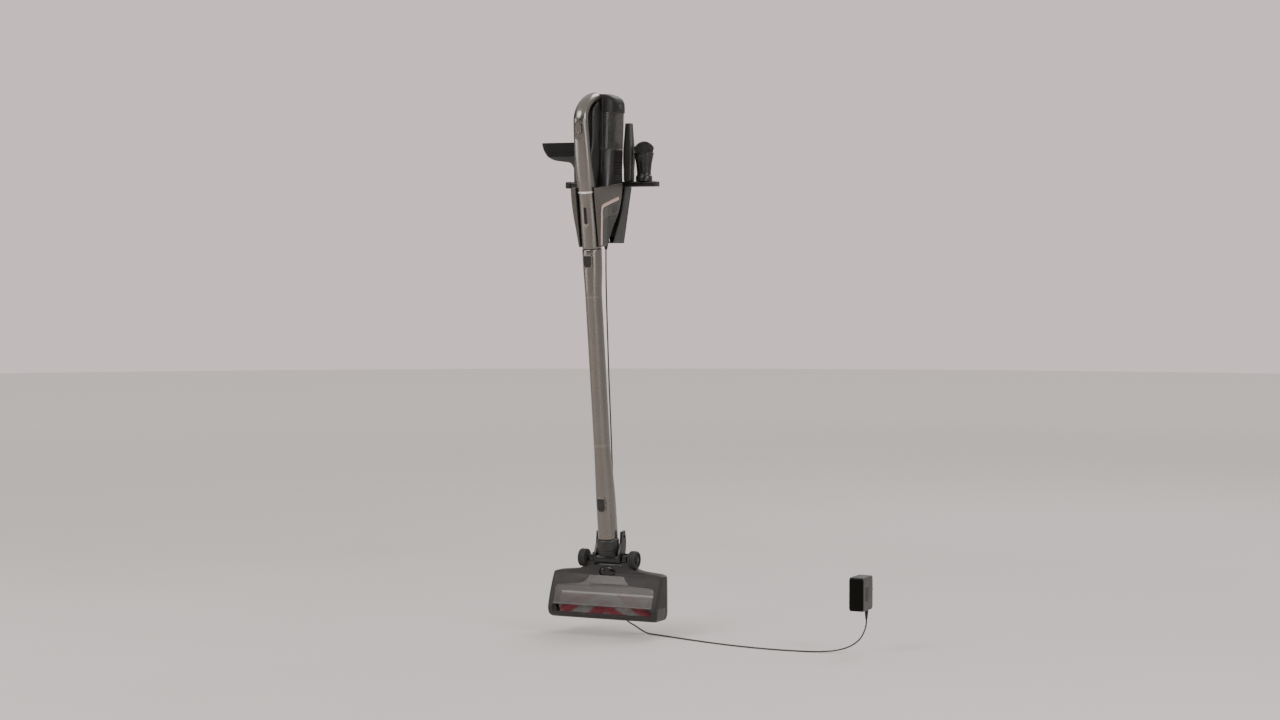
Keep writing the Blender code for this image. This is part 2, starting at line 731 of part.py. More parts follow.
def brush_roll(finish):
    """Bristle roller with its shaft and belt pulley, turning on the line ROLL_AT."""
    profile = [(0.0, -0.1305), (PULLEY_R[0], -0.1305), (PULLEY_R[0], -0.1245), (0.0060, -0.1240),
               (0.0060, -0.1205), (0.0225, -0.1205), (ROLL_R, -0.1180), (ROLL_R, 0.1180),
               (0.0225, 0.1205), (0.0060, 0.1205), (0.0060, 0.1290), (0.0, 0.1290)]
    return turned("brush_roll", profile, finish, centre=(0.0, *ROLL_AT), axis="X", segments=24)


def brush_motor(finish):
    return rod("brush_motor", MOTOR_R, -0.1100, -0.0450, finish, centre=(0.0, *MOTOR_AT), axis="X",
               origin=PIVOT)


def motor_pulley(finish):
    profile = [(0.0, -0.1305), (PULLEY_R[1], -0.1305), (PULLEY_R[1], -0.1240), (0.0030, -0.1236),
               (0.0030, -0.1104), (0.0, -0.1104)]
    return turned("motor_pulley", profile, finish, centre=(0.0, *MOTOR_AT), axis="X", segments=16)


def belt_loop(x, grow):
    """One loop round both pulleys, grow metres off their rims, in the plane at x."""
    big = PULLEY_R[0] + grow
    small = PULLEY_R[1] + grow
    slant = math.asin((big - small) / (MOTOR_AT[1] - ROLL_AT[1]))
    points = []
    for centre, radius, start, stop in ((ROLL_AT, big, math.pi - slant, 2.0 * math.pi + slant),
                                        (MOTOR_AT, small, slant, math.pi - slant)):
        for step in range(9):
            turn = start + (stop - start) * step / 8.0
            points.append(Vector((x, centre[0] + radius * math.cos(turn),
                                  centre[1] + radius * math.sin(turn))))
    return points


def drive_belt(finish):
    low, high = -0.1300, -0.1250
    rings = [belt_loop(low, 0.0015), belt_loop(high, 0.0015), belt_loop(high, 0.0004),
             belt_loop(low, 0.0004)]
    return loft("drive_belt", rings, finish, origin=PIVOT, closed=True)


def rear_axle(finish):
    return rod("rear_axle", AXLE_R, -0.0735, 0.0735, finish, centre=PIVOT, axis="X", segments=16)


def rear_wheel(side, finish):
    low, high = sorted((side * WHEEL_X[0], side * WHEEL_X[1]))
    edge = 0.0020
    profile = [(AXLE_BORE, low), (WHEEL_R - edge, low), (WHEEL_R, low + edge),
               (WHEEL_R, high - edge), (WHEEL_R - edge, high), (AXLE_BORE, high)]
    name = "rear_wheel_right" if side > 0 else "rear_wheel_left"
    return turned(name, profile, finish, centre=PIVOT, axis="X", segments=24)


# ---------------------------------------------------------------- wall dock

DOCK = (
    # height, half width, front
    (-0.0655, 0.0200, -0.0585),
    (-0.0240, 0.0265, -0.0440),
    (0.0100, 0.0315, -0.0355),
    (0.0630, 0.0398, -0.0335),
)
PLATE_FRONT = -0.0045


def dock_back_plate(finish):
    rings = [outline(0.0170, PLATE_FRONT, 0.0, -0.0640, 0.0010),
             outline(0.0360, PLATE_FRONT, 0.0, 0.0610, 0.0010)]
    made = loft("dock_back_plate", rings, finish)
    for name, height in (("screw_hole_upper", 0.0420), ("screw_hole_lower", -0.0420)):
        cut(made, rod(name, 0.0026, -0.0200, 0.0100, None, centre=(0.0, 0.0, height), axis="Y",
                      segments=12))
    return made


def dock_shell(finish):
    wall = 0.0025
    made = loft("dock_shell", [outline(half, front, PLATE_FRONT - GAP, height, 0.0050, 0.0010)
                               for height, half, front in DOCK], finish)
    inner = []
    for height, half, front in DOCK:
        step = wall if height == DOCK[0][0] else -wall if height == DOCK[-1][0] else 0.0
        inner.append(outline(half - wall, -0.1500, 0.0500, height + step, 0.0020))
    cut(made, loft("shell_hollow", inner, None))
    cut(made, rod("gland_hole", 0.0048, -0.1000, -0.0500, None, centre=(*GLAND_AT, 0.0)))
    return made


def dock_cradle(lean, finish):
    """Black front of the dock, inside the shell, with the peg that the vacuum hangs on."""
    rings = []
    for height in (-0.0505, -0.0240, 0.0100, 0.0601):
        half, front = (between([(row[0], row[column]) for row in DOCK], height)
                       for column in (1, 2))
        rings.append(outline(half - 0.0031, front + 0.0016, -0.0130, height, 0.0020))
    made = loft("dock_cradle", rings, finish)
    join(made, block("hanger_peg", (-0.0120, 0.0925, 0.1070), (0.0120, 0.1220, 0.1176), None,
                     lean, edge=0.0))
    return made


def charge_contact(side, lean, finish):
    name = "charge_contact_right" if side > 0 else "charge_contact_left"
    middle = 0.0060 * side
    return block(name, (middle - 0.0020, 0.0916, 0.1090), (middle + 0.0020, 0.0922, 0.1150),
                 finish, lean, edge=0.0)


def wall_screw(name, height, finish):
    profile = [(0.0, -0.0085), (0.0030, -0.0085), (0.0042, -0.0070), (0.0042, -0.0048),
               (0.0021, -0.0048), (0.0021, -0.0002), (0.0, -0.0002)]
    return turned(name, profile, finish, centre=(0.0, 0.0, height), axis="Y", segments=12)


def accessory_rail(finish):
    made = block("accessory_rail", (-RAIL_HALF, RAIL_Y[0], RAIL_Z[0]),
                 (RAIL_HALF, RAIL_Y[1], RAIL_Z[1]), finish, edge=0.0020)
    join(made, block("rail_end", (-0.1170, -0.0350, 0.0610), (-0.1030, -0.0070, 0.0765), None,
                     edge=0.0020))
    for name, at in (("peg_left", NOZZLE_AT), ("peg_middle", CREVICE_AT), ("peg_right", BRUSH_AT)):
        join(made, rod(name, 0.0085, RAIL_Z[1] - 0.0030, RAIL_Z[1] + PEG_HEIGHT, None,
                       centre=(*at, 0.0), segments=16, edge=0.0012))
    return made


# ---------------------------------------------------------------- tools on the rail

def bored_rings(place_at, radius, foot, depth):
    """Rings of a hollow neck, from the bottom of its bore out to its foot."""
    return [circle(0.0092, foot + depth, place_at), circle(0.0092, foot, place_at),
            circle(radius, foot, place_at)]


NOZZLE = (
    # height, left edge, right edge, half depth
    (0.1080, -0.0990, -0.0690, 0.0150),
    (0.1200, -0.1060, -0.0650, 0.0155),
    (0.1265, -0.1480, -0.0560, 0.0165),
    (0.1350, -0.1660, -0.0500, 0.0170),
)
MOUTH = (
    (0.1353, -0.1664, -0.0498, 0.0172),
    (0.1520, -0.1765, -0.0430, 0.0180),
    (0.1670, -0.1805, -0.0400, 0.0180),
)


def nozzle_ring(height, left, right, half_depth):
    return outline(0.5 * (right - left), NOZZLE_AT[1] - half_depth, NOZZLE_AT[1] + half_depth,
                   height, 0.0120, middle=0.5 * (left + right))


def upholstery_nozzle_body(finish):
    foot = RAIL_Z[1] + GAP
    rings = bored_rings(NOZZLE_AT, 0.0150, foot, PEG_HEIGHT + 0.0012)
    rings += [nozzle_ring(*row) for row in NOZZLE]
    return loft("upholstery_nozzle_body", rings, finish)


def upholstery_nozzle_mouth(finish):
    made = loft("upholstery_nozzle_mouth", [nozzle_ring(*row) for row in MOUTH], finish)
    cut(made, block("mouth_slot", (-0.1700, -0.0280, 0.1570), (-0.0500, -0.0140, 0.2000), None,
                    edge=0.0))
    return made


def crevice_nozzle(finish):
    foot = RAIL_Z[1] + GAP
    x, y = CREVICE_AT
    rings = bored_rings(CREVICE_AT, 0.0112, foot, PEG_HEIGHT + 0.0012)
    for height, half, deep in ((0.1000, 0.0112, 0.0112), (0.1180, 0.0122, 0.0122),
                               (0.1400, 0.0124, 0.0118), (0.1750, 0.0108, 0.0098),
                               (0.2080, 0.0090, 0.0080)):
        rings.append(outline(half, y - deep, y + deep, height, 0.0075, middle=x))
    for half, deep, height in ((0.0072, 0.0062, 0.2080), (0.0072, 0.0062, 0.1950)):
        rings.append(outline(half, y - deep, y + deep, height, 0.0050, middle=x))
    return loft("crevice_nozzle", rings, finish)


def dusting_brush_body(finish):
    foot = RAIL_Z[1] + GAP
    x, y = BRUSH_AT
    rings = bored_rings(BRUSH_AT, 0.0185, foot, PEG_HEIGHT + 0.0012)
    for height, half, deep in ((0.0880, 0.0185, 0.0170), (0.0900, 0.0160, 0.0150),
                               (0.1150, 0.0185, 0.0165), (0.1400, 0.0225, 0.0185)):
        rings.append(outline(half, y - deep, y + deep, height, 0.0160, middle=x))
    return loft("dusting_brush_body", rings, finish)


def dusting_brush_bristles(finish):
    x, y = BRUSH_AT
    rings = []
    for height, half, deep in ((0.1403, 0.0222, 0.0182), (0.1480, 0.0248, 0.0196),
                               (0.1570, 0.0246, 0.0194), (0.1640, 0.0200, 0.0160),
                               (0.1672, 0.0110, 0.0090)):
        rings.append(outline(half, y - deep, y + deep, height, 0.0190, middle=x))
    return loft("dusting_brush_bristles", rings, finish)


# ---------------------------------------------------------------- cord and charger

CORD_ROUTE = (
    (-0.0105, -0.0380, -0.0810), (-0.0105, -0.0380, -0.1000), (-0.0107, -0.0372, -0.1400),
    (-0.0112, -0.0335, -0.2000), (-0.0120, -0.0265, -0.2800), (-0.0125, -0.0185, -0.3800),
    (-0.0120, -0.0105, -0.4800), (-0.0110, -0.0048, -0.5800), (-0.0090, -0.0026, -0.6800),
    (-0.0045, -0.0024, -0.7700), (0.0025, -0.0024, -0.8500), (0.0085, -0.0024, -0.9020),
    (0.0175, -0.0026, -0.9290), (0.0300, -0.0032, -0.9405), (0.0460, -0.0046, -0.9475),
    (0.0640, -0.0080, -0.9560), (0.0850, -0.0140, -0.9622), (0.1150, -0.0230, -0.9632),
    (0.1650, -0.0400, -0.9632), (0.2240, -0.0610, -0.9632), (0.2900, -0.0815, -0.9632),
    (0.3550, -0.0960, -0.9632), (0.4250, -0.1040, -0.9632), (0.4900, -0.1020, -0.9632),
    (0.5400, -0.0930, -0.9630), (0.5750, -0.0805, -0.9590), (0.6010, -0.0660, -0.9500),
    (0.6170, -0.0500, -0.9355), (0.6228, -0.0350, -0.9170), (0.6235, -0.0275, -0.9030),
    (0.6235, -0.0270, -0.8945),
)
CORD_SUBSTEPS = 2


def smooth_route(route, substeps):
    """Centripetal-looking smooth curve through the route's own points (Catmull-Rom)."""
    ends = [Vector(point) for point in route]
    ends = [2.0 * ends[0] - ends[1]] + ends + [2.0 * ends[-1] - ends[-2]]
    points = []
    for index in range(1, len(ends) - 2):
        before, start, stop, after = ends[index - 1:index + 3]
        for step in range(substeps):
            t = step / substeps
            points.append(0.5 * (2.0 * start + (stop - before) * t
                                 + (2.0 * before - 5.0 * start + 4.0 * stop - after) * t * t
                                 + (3.0 * start - before - 3.0 * stop + after) * t * t * t))
    points.append(ends[-2])
    return points


def charging_cord(finish):
    curve = bpy.data.curves.new("charging_cord", "CURVE")
    curve.dimensions = "3D"
    curve.bevel_depth = 0.5 * CORD_D
    curve.bevel_resolution = 2
    curve.use_fill_caps = True
    points = smooth_route(CORD_ROUTE, CORD_SUBSTEPS)
    spline = curve.splines.new("POLY")
    spline.points.add(len(points) - 1)
    for knot, point in zip(spline.points, points):
        knot.co = (*point, 1.0)
    made = bpy.data.objects.new("charging_cord", curve)
    made.data.materials.append(finish)
    bpy.context.scene.collection.objects.link(made)
    return made


def cord_gland(finish):
    profile = [(0.0, -0.0600), (0.0056, -0.0600), (0.0056, -0.0628), (0.0045, -0.0630),
               (0.0045, -0.0660), (0.0052, -0.0664), (0.0052, -0.0690), (0.0026, -0.0806),
               (0.0, -0.0806)]
    return turned("cord_gland", profile, finish, centre=(*GLAND_AT, 0.0), segments=16)


def charger_body(finish):
    return block("charger_body", (CHARGER_X[0], CHARGER_Y[0], CHARGER_Z[0]),
                 (CHARGER_X[1], CHARGER_Y[1], CHARGER_Z[1]), finish, edge=0.0040)


def charger_strain_relief(finish):
    top = CHARGER_Z[0] - GAP
    profile = [(0.0, RELIEF_END), (0.0026, RELIEF_END), (0.0046, top), (0.0, top)]
    return turned("charger_strain_relief", profile, finish, centre=(*RELIEF_AT, 0.0), segments=16)


def charger_pin(side, finish):
    name = "charger_pin_right" if side > 0 else "charger_pin_left"
    middle = 0.5 * (CHARGER_X[0] + CHARGER_X[1]) + 0.0095 * side
    return rod(name, 0.0020, CHARGER_Y[1] + GAP, -0.0002, finish, centre=(middle, 0.0, -0.8300),
               axis="Y", segments=12)


# ---------------------------------------------------------------- whole object

def build():
    clear_scene()
    pearl = material("pearl_metal", (0.34, 0.32, 0.30), 0.30, 0.85)
    lacquer = material("pearl_lacquer", (0.34, 0.32, 0.30), 0.30, 0.60)
    black = material("black_plastic", (0.018, 0.017, 0.016), 0.45)
    dark = material("dark_plastic", (0.060, 0.058, 0.055), 0.45)
    warm = material("warm_grey_plastic", (0.120, 0.110, 0.102), 0.40)
    chrome = material("chrome_trim", (0.85, 0.83, 0.80), 0.12, 1.0)
    rose = material("rose_gold", (0.72, 0.50, 0.45), 0.28, 0.80)
    smoke = material("smoked_clear", (0.060, 0.060, 0.058), 0.08)
    steel = material("steel", (0.55, 0.55, 0.56), 0.30, 1.0)
    gold = material("contact_gold", (0.80, 0.62, 0.28), 0.25, 1.0)
    red = material("red_bristle", (0.45, 0.09, 0.12), 0.75)
    rubber = material("black_rubber", (0.020, 0.020, 0.020), 0.80)
    felt = material("filter_fleece", (0.70, 0.70, 0.68), 0.90)
    alloy = material("motor_alloy", (0.35, 0.33, 0.31), 0.35, 0.9)

    lean = frame_empty("lean_axis", SPINE_FOOT, LEAN)

    spine_shell(lean, lacquer)
    handle_bar(lean, black)
    power_button(lean, lacquer)
    indicator_lens(lean, black)
    trim_ring(lean, chrome)

    unit_casing(lean, warm)
    battery_pack(lean, dark)
    battery_cap(lean, warm)
    for side in (-1, 1):
        accent_strip(side, lean, rose)
        battery_release(side, lean, dark)
    motor_housing(black)
    motor_can(alloy)
    impeller(steel)
    dust_bin(smoke)
    cyclone_cone(dark)
    mesh_screen(steel)
    bin_lid(black)
    lid_hinge_pin(steel)
    lid_latch(dark)
    fine_filter(felt)

    suction_tube(lean, pearl)
    cable_channel(lean, dark)
    tube_plug_housing(lean, dark)
    tube_button("upper_release_button", UPPER_BUTTON, lean, black)
    tube_button("lower_release_button", LOWER_BUTTON, lean, black)

    neck_collar(lean, dark)
    neck_elbow(lean, black)
    head_cover(dark)
    head_window(smoke)
    head_base(black)
    brush_roll(red)
    brush_motor(alloy)
    motor_pulley(steel)
    drive_belt(rubber)
    rear_axle(steel)
    for side in (-1, 1):
        rear_wheel(side, rubber)

    dock_back_plate(dark)
    dock_shell(dark)
    dock_cradle(lean, black)
    for side in (-1, 1):
        charge_contact(side, lean, gold)
    wall_screw("wall_screw_upper", 0.0420, steel)
    wall_screw("wall_screw_lower", -0.0420, steel)
    accessory_rail(black)

    upholstery_nozzle_body(dark)
    upholstery_nozzle_mouth(black)
    crevice_nozzle(black)
    dusting_brush_body(black)
    dusting_brush_bristles(black)

    cord_gland(rubber)
    charging_cord(rubber)
    charger_body(dark)
    charger_strain_relief(rubber)
    for side in (-1, 1):
        charger_pin(side, steel)


build()
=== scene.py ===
"""Looks of the cordless stick vacuum on its wall dock: fine meshes, materials, cord, camera and light.

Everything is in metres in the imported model's own frame: +Z up, the wall is the plane y = 0, -Y points
away from it. Pieces on the vacuum's leaning axis are drawn in the leaning frame (x, depth, height):
depth grows towards the wall, and height is 0 at the joint between spine and suction tube.
"""
import math
import random

import bmesh
import bpy
from mathutils import Matrix, Vector


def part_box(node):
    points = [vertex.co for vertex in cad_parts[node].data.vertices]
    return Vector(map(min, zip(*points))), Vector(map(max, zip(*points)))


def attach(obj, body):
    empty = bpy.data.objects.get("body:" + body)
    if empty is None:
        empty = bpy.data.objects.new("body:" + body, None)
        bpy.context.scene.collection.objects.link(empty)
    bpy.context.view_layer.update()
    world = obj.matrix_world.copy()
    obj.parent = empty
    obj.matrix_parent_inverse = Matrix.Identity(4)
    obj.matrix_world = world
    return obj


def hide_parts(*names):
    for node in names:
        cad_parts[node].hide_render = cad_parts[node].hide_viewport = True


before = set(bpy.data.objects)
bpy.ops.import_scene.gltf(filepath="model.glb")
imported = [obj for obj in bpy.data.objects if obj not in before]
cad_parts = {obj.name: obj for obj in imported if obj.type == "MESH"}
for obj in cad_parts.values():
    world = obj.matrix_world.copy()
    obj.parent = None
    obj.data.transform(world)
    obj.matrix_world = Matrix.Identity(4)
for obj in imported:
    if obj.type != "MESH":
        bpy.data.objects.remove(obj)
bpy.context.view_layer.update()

LEAN = math.radians(7.0)
SPINE_FOOT = Vector((0.0, -0.133, -0.078))  # the leaning frame's own zero
LEANING = Matrix.Translation(SPINE_FOOT) @ Matrix.Rotation(LEAN, 4, "X")
UPRIGHT = Matrix.Identity(4)
GAP = 0.0003  # clearance between neighbouring pieces
CORNER_STEPS = 9
QUARTER = 0.5 * math.pi
SIDES = ((-1, "left"), (1, "right"))

PIVOT = Vector((0.0, -0.0435, -0.791))  # middle of the rear axle
ROLL_AT = (-0.0475, -0.898)  # depth and height of the roller's axis
UNIT_AXIS = Vector((0.0, -0.069, 0.0))  # upright line through cone, screen and filter
LID_HINGE = Vector((0.0, -0.0138, 0.231))
AXLE_BORE = 0.0044
TUBE_BORE = 0.0125
HOUSING_Z = (0.1, 0.1462)
BIN_Z = (0.1465, 0.2305)

FLOOR_Z = -0.9652
FLOOR_RADIUS = 14.0
DARK_SIDE = (-0.62, -0.78, 0.0)


# ---------------------------------------------------------------- shapes

def outline(half, front, rear, level, round_front, round_rear=None, middle=0.0):
    """Rounded rectangle in a level plane, from front to rear in depth and middle +- half across."""
    round_rear = round_front if round_rear is None else round_rear
    most = 0.98 * min(half, 0.5 * (rear - front))
    round_front = min(round_front, most)
    round_rear = min(round_rear, most)
    points = []
    for side, depth, radius, start in ((1, rear - round_rear, round_rear, 0),
                                       (-1, rear - round_rear, round_rear, 90),
                                       (-1, front + round_front, round_front, 180),
                                       (1, front + round_front, round_front, 270)):
        for step in range(CORNER_STEPS + 1):
            turn = math.radians(start + 90.0 * step / CORNER_STEPS)
            x = middle + side * (half - radius) + radius * math.cos(turn)
            points.append(Vector((x, depth + radius * math.sin(turn), level)))
    return points


def crowned(half, front, rear, level):
    """Ring in a level plane with an almost round front and a squarer back."""
    middle = front + 0.55 * (rear - front)
    points = []
    for start in (0, 90, 180, 270):
        power, reach = (2.25, middle - front) if start >= 180 else (3.2, rear - middle)
        for step in range(CORNER_STEPS + 1):
            turn = math.radians(start + 90.0 * step / CORNER_STEPS)
            x, y = (math.copysign(abs(part) ** (2.0 / power), part)
                    for part in (math.cos(turn), math.sin(turn)))
            points.append(Vector((half * x, middle + reach * y, level)))
    return points


def oblong(at, half, deep, level, corner):
    """Rounded outline round a place, half to either side and deep to front and back."""
    return outline(half, at[1] - deep, at[1] + deep, level, corner, middle=at[0])


def circle(radius, level, at=(0.0, 0.0)):
    return oblong(at, radius, radius, level, radius)


def slopes(places, values):
    """Slope at each row that keeps a smooth curve from overshooting its rows."""
    steps = [(b - a) for a, b in zip(places[:-1], places[1:])]
    rises = [(b - a) / s for a, b, s in zip(values[:-1], values[1:], steps)]
    found = [rises[0]]
    for before, after in zip(rises[:-1], rises[1:]):
        found.append(2.0 * before * after / (before + after) if before * after > 0.0 else 0.0)
    return found + [rises[-1]]


def reading(table, column, at):
    """Smooth value of one column of a table whose first column is the place."""
    places = [row[0] for row in table]
    values = [row[column] for row in table]
    slant = slopes(places, values)
    rising = places[-1] > places[0]
    for index, stop in enumerate(places[1:]):
        if (at <= stop) == rising:
            break
    span = stop - places[index]
    t = (at - places[index]) / span
    start_part = (1.0 + 2.0 * t) * (1.0 - t) ** 2 * values[index]
    stop_part = t * t * (3.0 - 2.0 * t) * values[index + 1]
    bend = t * (1.0 - t) ** 2 * slant[index] - t * t * (1.0 - t) * slant[index + 1]
    return start_part + stop_part + span * bend


def row_at(table, at):
    """The table's smooth row at a place, without the place."""
    return [reading(table, column, at) for column in range(1, len(table[0]))]


def eased(table, count):
    """The table's rows read again at count + 1 even places along a smooth curve."""
    first, last = table[0][0], table[-1][0]
    places = [first + (last - first) * step / count for step in range(count + 1)]
    return [(at, *row_at(table, at)) for at in places]


def middle_of(ring):
    return sum(ring, Vector()) / len(ring)


def shrunk(ring, inset, shift=Vector()):
    """Ring drawn in by inset all round, then moved by shift."""
    centre = middle_of(ring)
    reach = [max(max(abs(p[k] - centre[k]) for p in ring), 1e-6) for k in range(3)]
    made = []
    for point in ring:
        offset = point - centre
        for k in range(3):
            if reach[k] > inset:
                offset[k] *= (reach[k] - inset) / reach[k]
        made.append(centre + offset + shift)
    return made


def softened(rings, first, last=None):
    """The same rings with rounded edges worked into their ends; an edge of 0 is left sharp."""
    def rounding(edge, ring, inner):
        outward = (middle_of(ring) - middle_of(inner)).normalized()
        made = []
        for step in range(4):
            turn = QUARTER * step / 3.0
            made.append(shrunk(ring, edge * (1.0 - math.sin(turn)),
                               -outward * edge * (1.0 - math.cos(turn))))
        return made
    last = first if last is None else last
    body = list(rings)
    if first:
        body = rounding(first, rings[0], rings[1]) + body[1:]
    if last:
        body = body[:-1] + rounding(last, rings[-1], rings[-2])[::-1]
    return body


def solid(name, maker, place=UPRIGHT, smooth=35.0):
    """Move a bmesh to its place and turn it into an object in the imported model's frame."""
    bmesh.ops.remove_doubles(maker, verts=maker.verts, dist=0.000002)
    bmesh.ops.recalc_face_normals(maker, faces=maker.faces)
    bmesh.ops.transform(maker, matrix=place, verts=maker.verts)
    mesh = bpy.data.meshes.new(name)
    maker.to_mesh(mesh)
    maker.free()
    mesh.shade_smooth()
    mesh.set_sharp_from_angle(angle=math.radians(smooth))
    made = bpy.data.objects.new(name, mesh)
    bpy.context.scene.collection.objects.link(made)
    return made


def add_rings(maker, rings, closed=False, capped=True):
    """Skin rings into a bmesh; the ends are capped, left open or joined to each other."""
    rows = [[maker.verts.new(point) for point in ring] for ring in rings]
    pairs = list(zip(rows[:-1], rows[1:]))
    if closed:
        pairs.append((rows[-1], rows[0]))
    elif capped:
        maker.faces.new(rows[0][::-1])
        maker.faces.new(rows[-1])
    for low, high in pairs:
        for index, corner in enumerate(low):
            after = (index + 1) % len(low)
            maker.faces.new((corner, low[after], high[after], high[index]))


def loft(name, rings, place=UPRIGHT, closed=False, smooth=35.0):
    """Skin a list of rings; the ends are capped, or joined to each other when closed."""
    maker = bmesh.new()
    add_rings(maker, rings, closed)
    return solid(name, maker, place, smooth)


def spun_rings(profile, axis, centre, segments):
    """Rings of a (radius, height) profile spun round an axis through centre."""
    rings = []
    for radius, height in profile:
        ring = []
        for step in range(segments):
            turn = 2.0 * math.pi * step / segments
            a, b = radius * math.cos(turn), radius * math.sin(turn)
            point = {"X": (height, a, b), "Y": (b, height, a), "Z": (a, b, height)}[axis]
            ring.append(Vector(point) + Vector(centre))
        rings.append(ring)
    return rings


def spun(name, profile, place=UPRIGHT, axis="Z", centre=(0.0, 0.0, 0.0), segments=64,
         closed=False):
    return loft(name, spun_rings(profile, axis, centre, segments), place, closed)


def slab(name, low, high, edge, place=UPRIGHT, axis=2, corner=None):
    """Box between two corners with rounded edges; corner is the radius round the given axis."""
    low, high = Vector(low), Vector(high)
    a, b = [k for k in range(3) if k != axis]
    half = 0.5 * (high[b] - low[b])
    middle = 0.5 * (high[b] + low[b])
    flat = outline(0.5 * (high[a] - low[a]), middle - half, middle + half, 0.0,
                   2.0 * edge if corner is None else corner, middle=0.5 * (high[a] + low[a]))
    rings = []
    for level in (low[axis], high[axis]):
        ring = []
        for point in flat:
            made = Vector()
            made[a], made[b], made[axis] = point.x, point.y, level
            ring.append(made)
        rings.append(ring)
    return loft(name, softened(rings, edge), place)


def sweep(name, path, section, place, up):
    """Carry a closed (across, up) section along a path of points."""
    rings = []
    for index, point in enumerate(path):
        along = (path[min(index + 1, len(path) - 1)] - path[max(index - 1, 0)]).normalized()
        across = along.cross(up).normalized()
        rings.append([point + across * a + up * b for a, b in section])
    return loft(name, rings, place)


def smooth_route(route, substeps):
    """Smooth curve through the route's own points (Catmull-Rom)."""
    ends = [Vector(point) for point in route]
    ends = [2.0 * ends[0] - ends[1]] + ends + [2.0 * ends[-1] - ends[-2]]
    points = []
    for index in range(1, len(ends) - 2):
        before, start, stop, after = ends[index - 1:index + 3]
        for step in range(substeps):
            t = step / substeps
            points.append(0.5 * (2.0 * start + (stop - before) * t
                                 + (2.0 * before - 5.0 * start + 4.0 * stop - after) * t * t
                                 + (3.0 * start - before - 3.0 * stop + after) * t * t * t))
    points.append(ends[-2])
    return points


def apply_changes(made):
    """Replace an object's mesh with what its modifiers make of it."""
    graph = bpy.context.evaluated_depsgraph_get()
    mesh = bpy.data.meshes.new_from_object(made.evaluated_get(graph))
    made.modifiers.clear()
    made.data = mesh


def combine(made, tool, operation):
    change = made.modifiers.new(operation, "BOOLEAN")
    change.operation = operation
    change.solver = "EXACT"
    change.object = tool
    apply_changes(made)
    bpy.data.objects.remove(tool, do_unlink=True)


def carve(made, *tools):
    for tool in tools:
        combine(made, tool, "DIFFERENCE")


def weld(made, *tools):
    for tool in tools:
        combine(made, tool, "UNION")


def bore(made, radius, low, high, place, centre):
    """Drill a piece from low to high across it, on a line through centre."""
    carve(made, spun("bore", [(radius, low), (radius, high)], place, "X", centre, 32))


def groove_round(made, rings, core, place=UPRIGHT):
    """Cut away what lies between the rings and the core, all round a piece."""
    groove = loft("groove", rings, place)
    carve(groove, loft("core", core, place))
    carve(made, groove)


def round_edges(made, width, segments=3):
    """Round every edge that turns by more than 35 degrees."""
    change = made.modifiers.new("rounding", "BEVEL")
    change.width = width
    change.segments = segments
    change.limit_method = "ANGLE"
    change.angle_limit = math.radians(35.0)


def cleaned(made, edge=0.0):
    """Merge what cutting left on top of itself, shade the mesh again and round its edges."""
    maker = bmesh.new()
    maker.from_mesh(made.data)
    bmesh.ops.remove_doubles(maker, verts=maker.verts, dist=0.00002)
    bmesh.ops.dissolve_degenerate(maker, dist=0.00001, edges=maker.edges)
    maker.to_mesh(made.data)
    maker.free()
    made.data.shade_smooth()
    made.data.set_sharp_from_angle(angle=math.radians(38.0))
    if edge > 0.0:
        round_edges(made, edge)
    return made


def settle(made, finish, body, *nodes, slot=None):
    """Give a piece its finish, tie it to its body and let it stand for its CAD nodes."""
    made.data.materials.clear()
    made.data.materials.append(FINISH[finish])
    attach(made, body)
    if nodes:
        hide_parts(*nodes)


def keep(node, finish, edge=0.0, segments=2):
    """Show a CAD node itself, with a finish of its own and, if wanted, rounded edges."""
    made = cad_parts[node]
    made.data.materials.clear()
    made.data.materials.append(FINISH[finish])
    if edge > 0.0:
        round_edges(made, edge, segments)
    return made


def paint_some(made, finish, chosen):
    """Give the faces that chosen picks a second finish."""
    made.data.materials.append(FINISH[finish])
    for face in made.data.polygons:
        if chosen(face):
            face.material_index = 1


# ---------------------------------------------------------------- materials

def feed(tree, socket, value):
    """Give a socket a value or a colour, or link it to another node's output."""
    if isinstance(value, bpy.types.NodeSocket):
        tree.links.new(value, socket)
    elif socket.type == "RGBA":
        socket.default_value = (*value, 1.0)
    else:
        socket.default_value = value


def add_node(tree, kind, output, inputs=None, **settings):
    """Named output of a new shader node."""
    made = tree.nodes.new("ShaderNode" + kind)
    for name, value in settings.items():
        setattr(made, name, value)
    for socket, value in (inputs or {}).items():
        feed(tree, made.inputs[socket], value)
    return made.outputs[output]


def ranged(tree, value, low, high, into, **settings):
    """Value that runs from low to high while another runs through into."""
    inputs = {"Value": value, "From Min": into[0], "From Max": into[1], "To Min": low, "To Max": high}
    return add_node(tree, "MapRange", "Result", inputs, **settings)


def mixed(tree, share, first, second):
    """Colour between first and second; either may be a colour or another node's output."""
    return add_node(tree, "Mix", "Result", {"Factor": share, "A": first, "B": second},
                    data_type="RGBA")


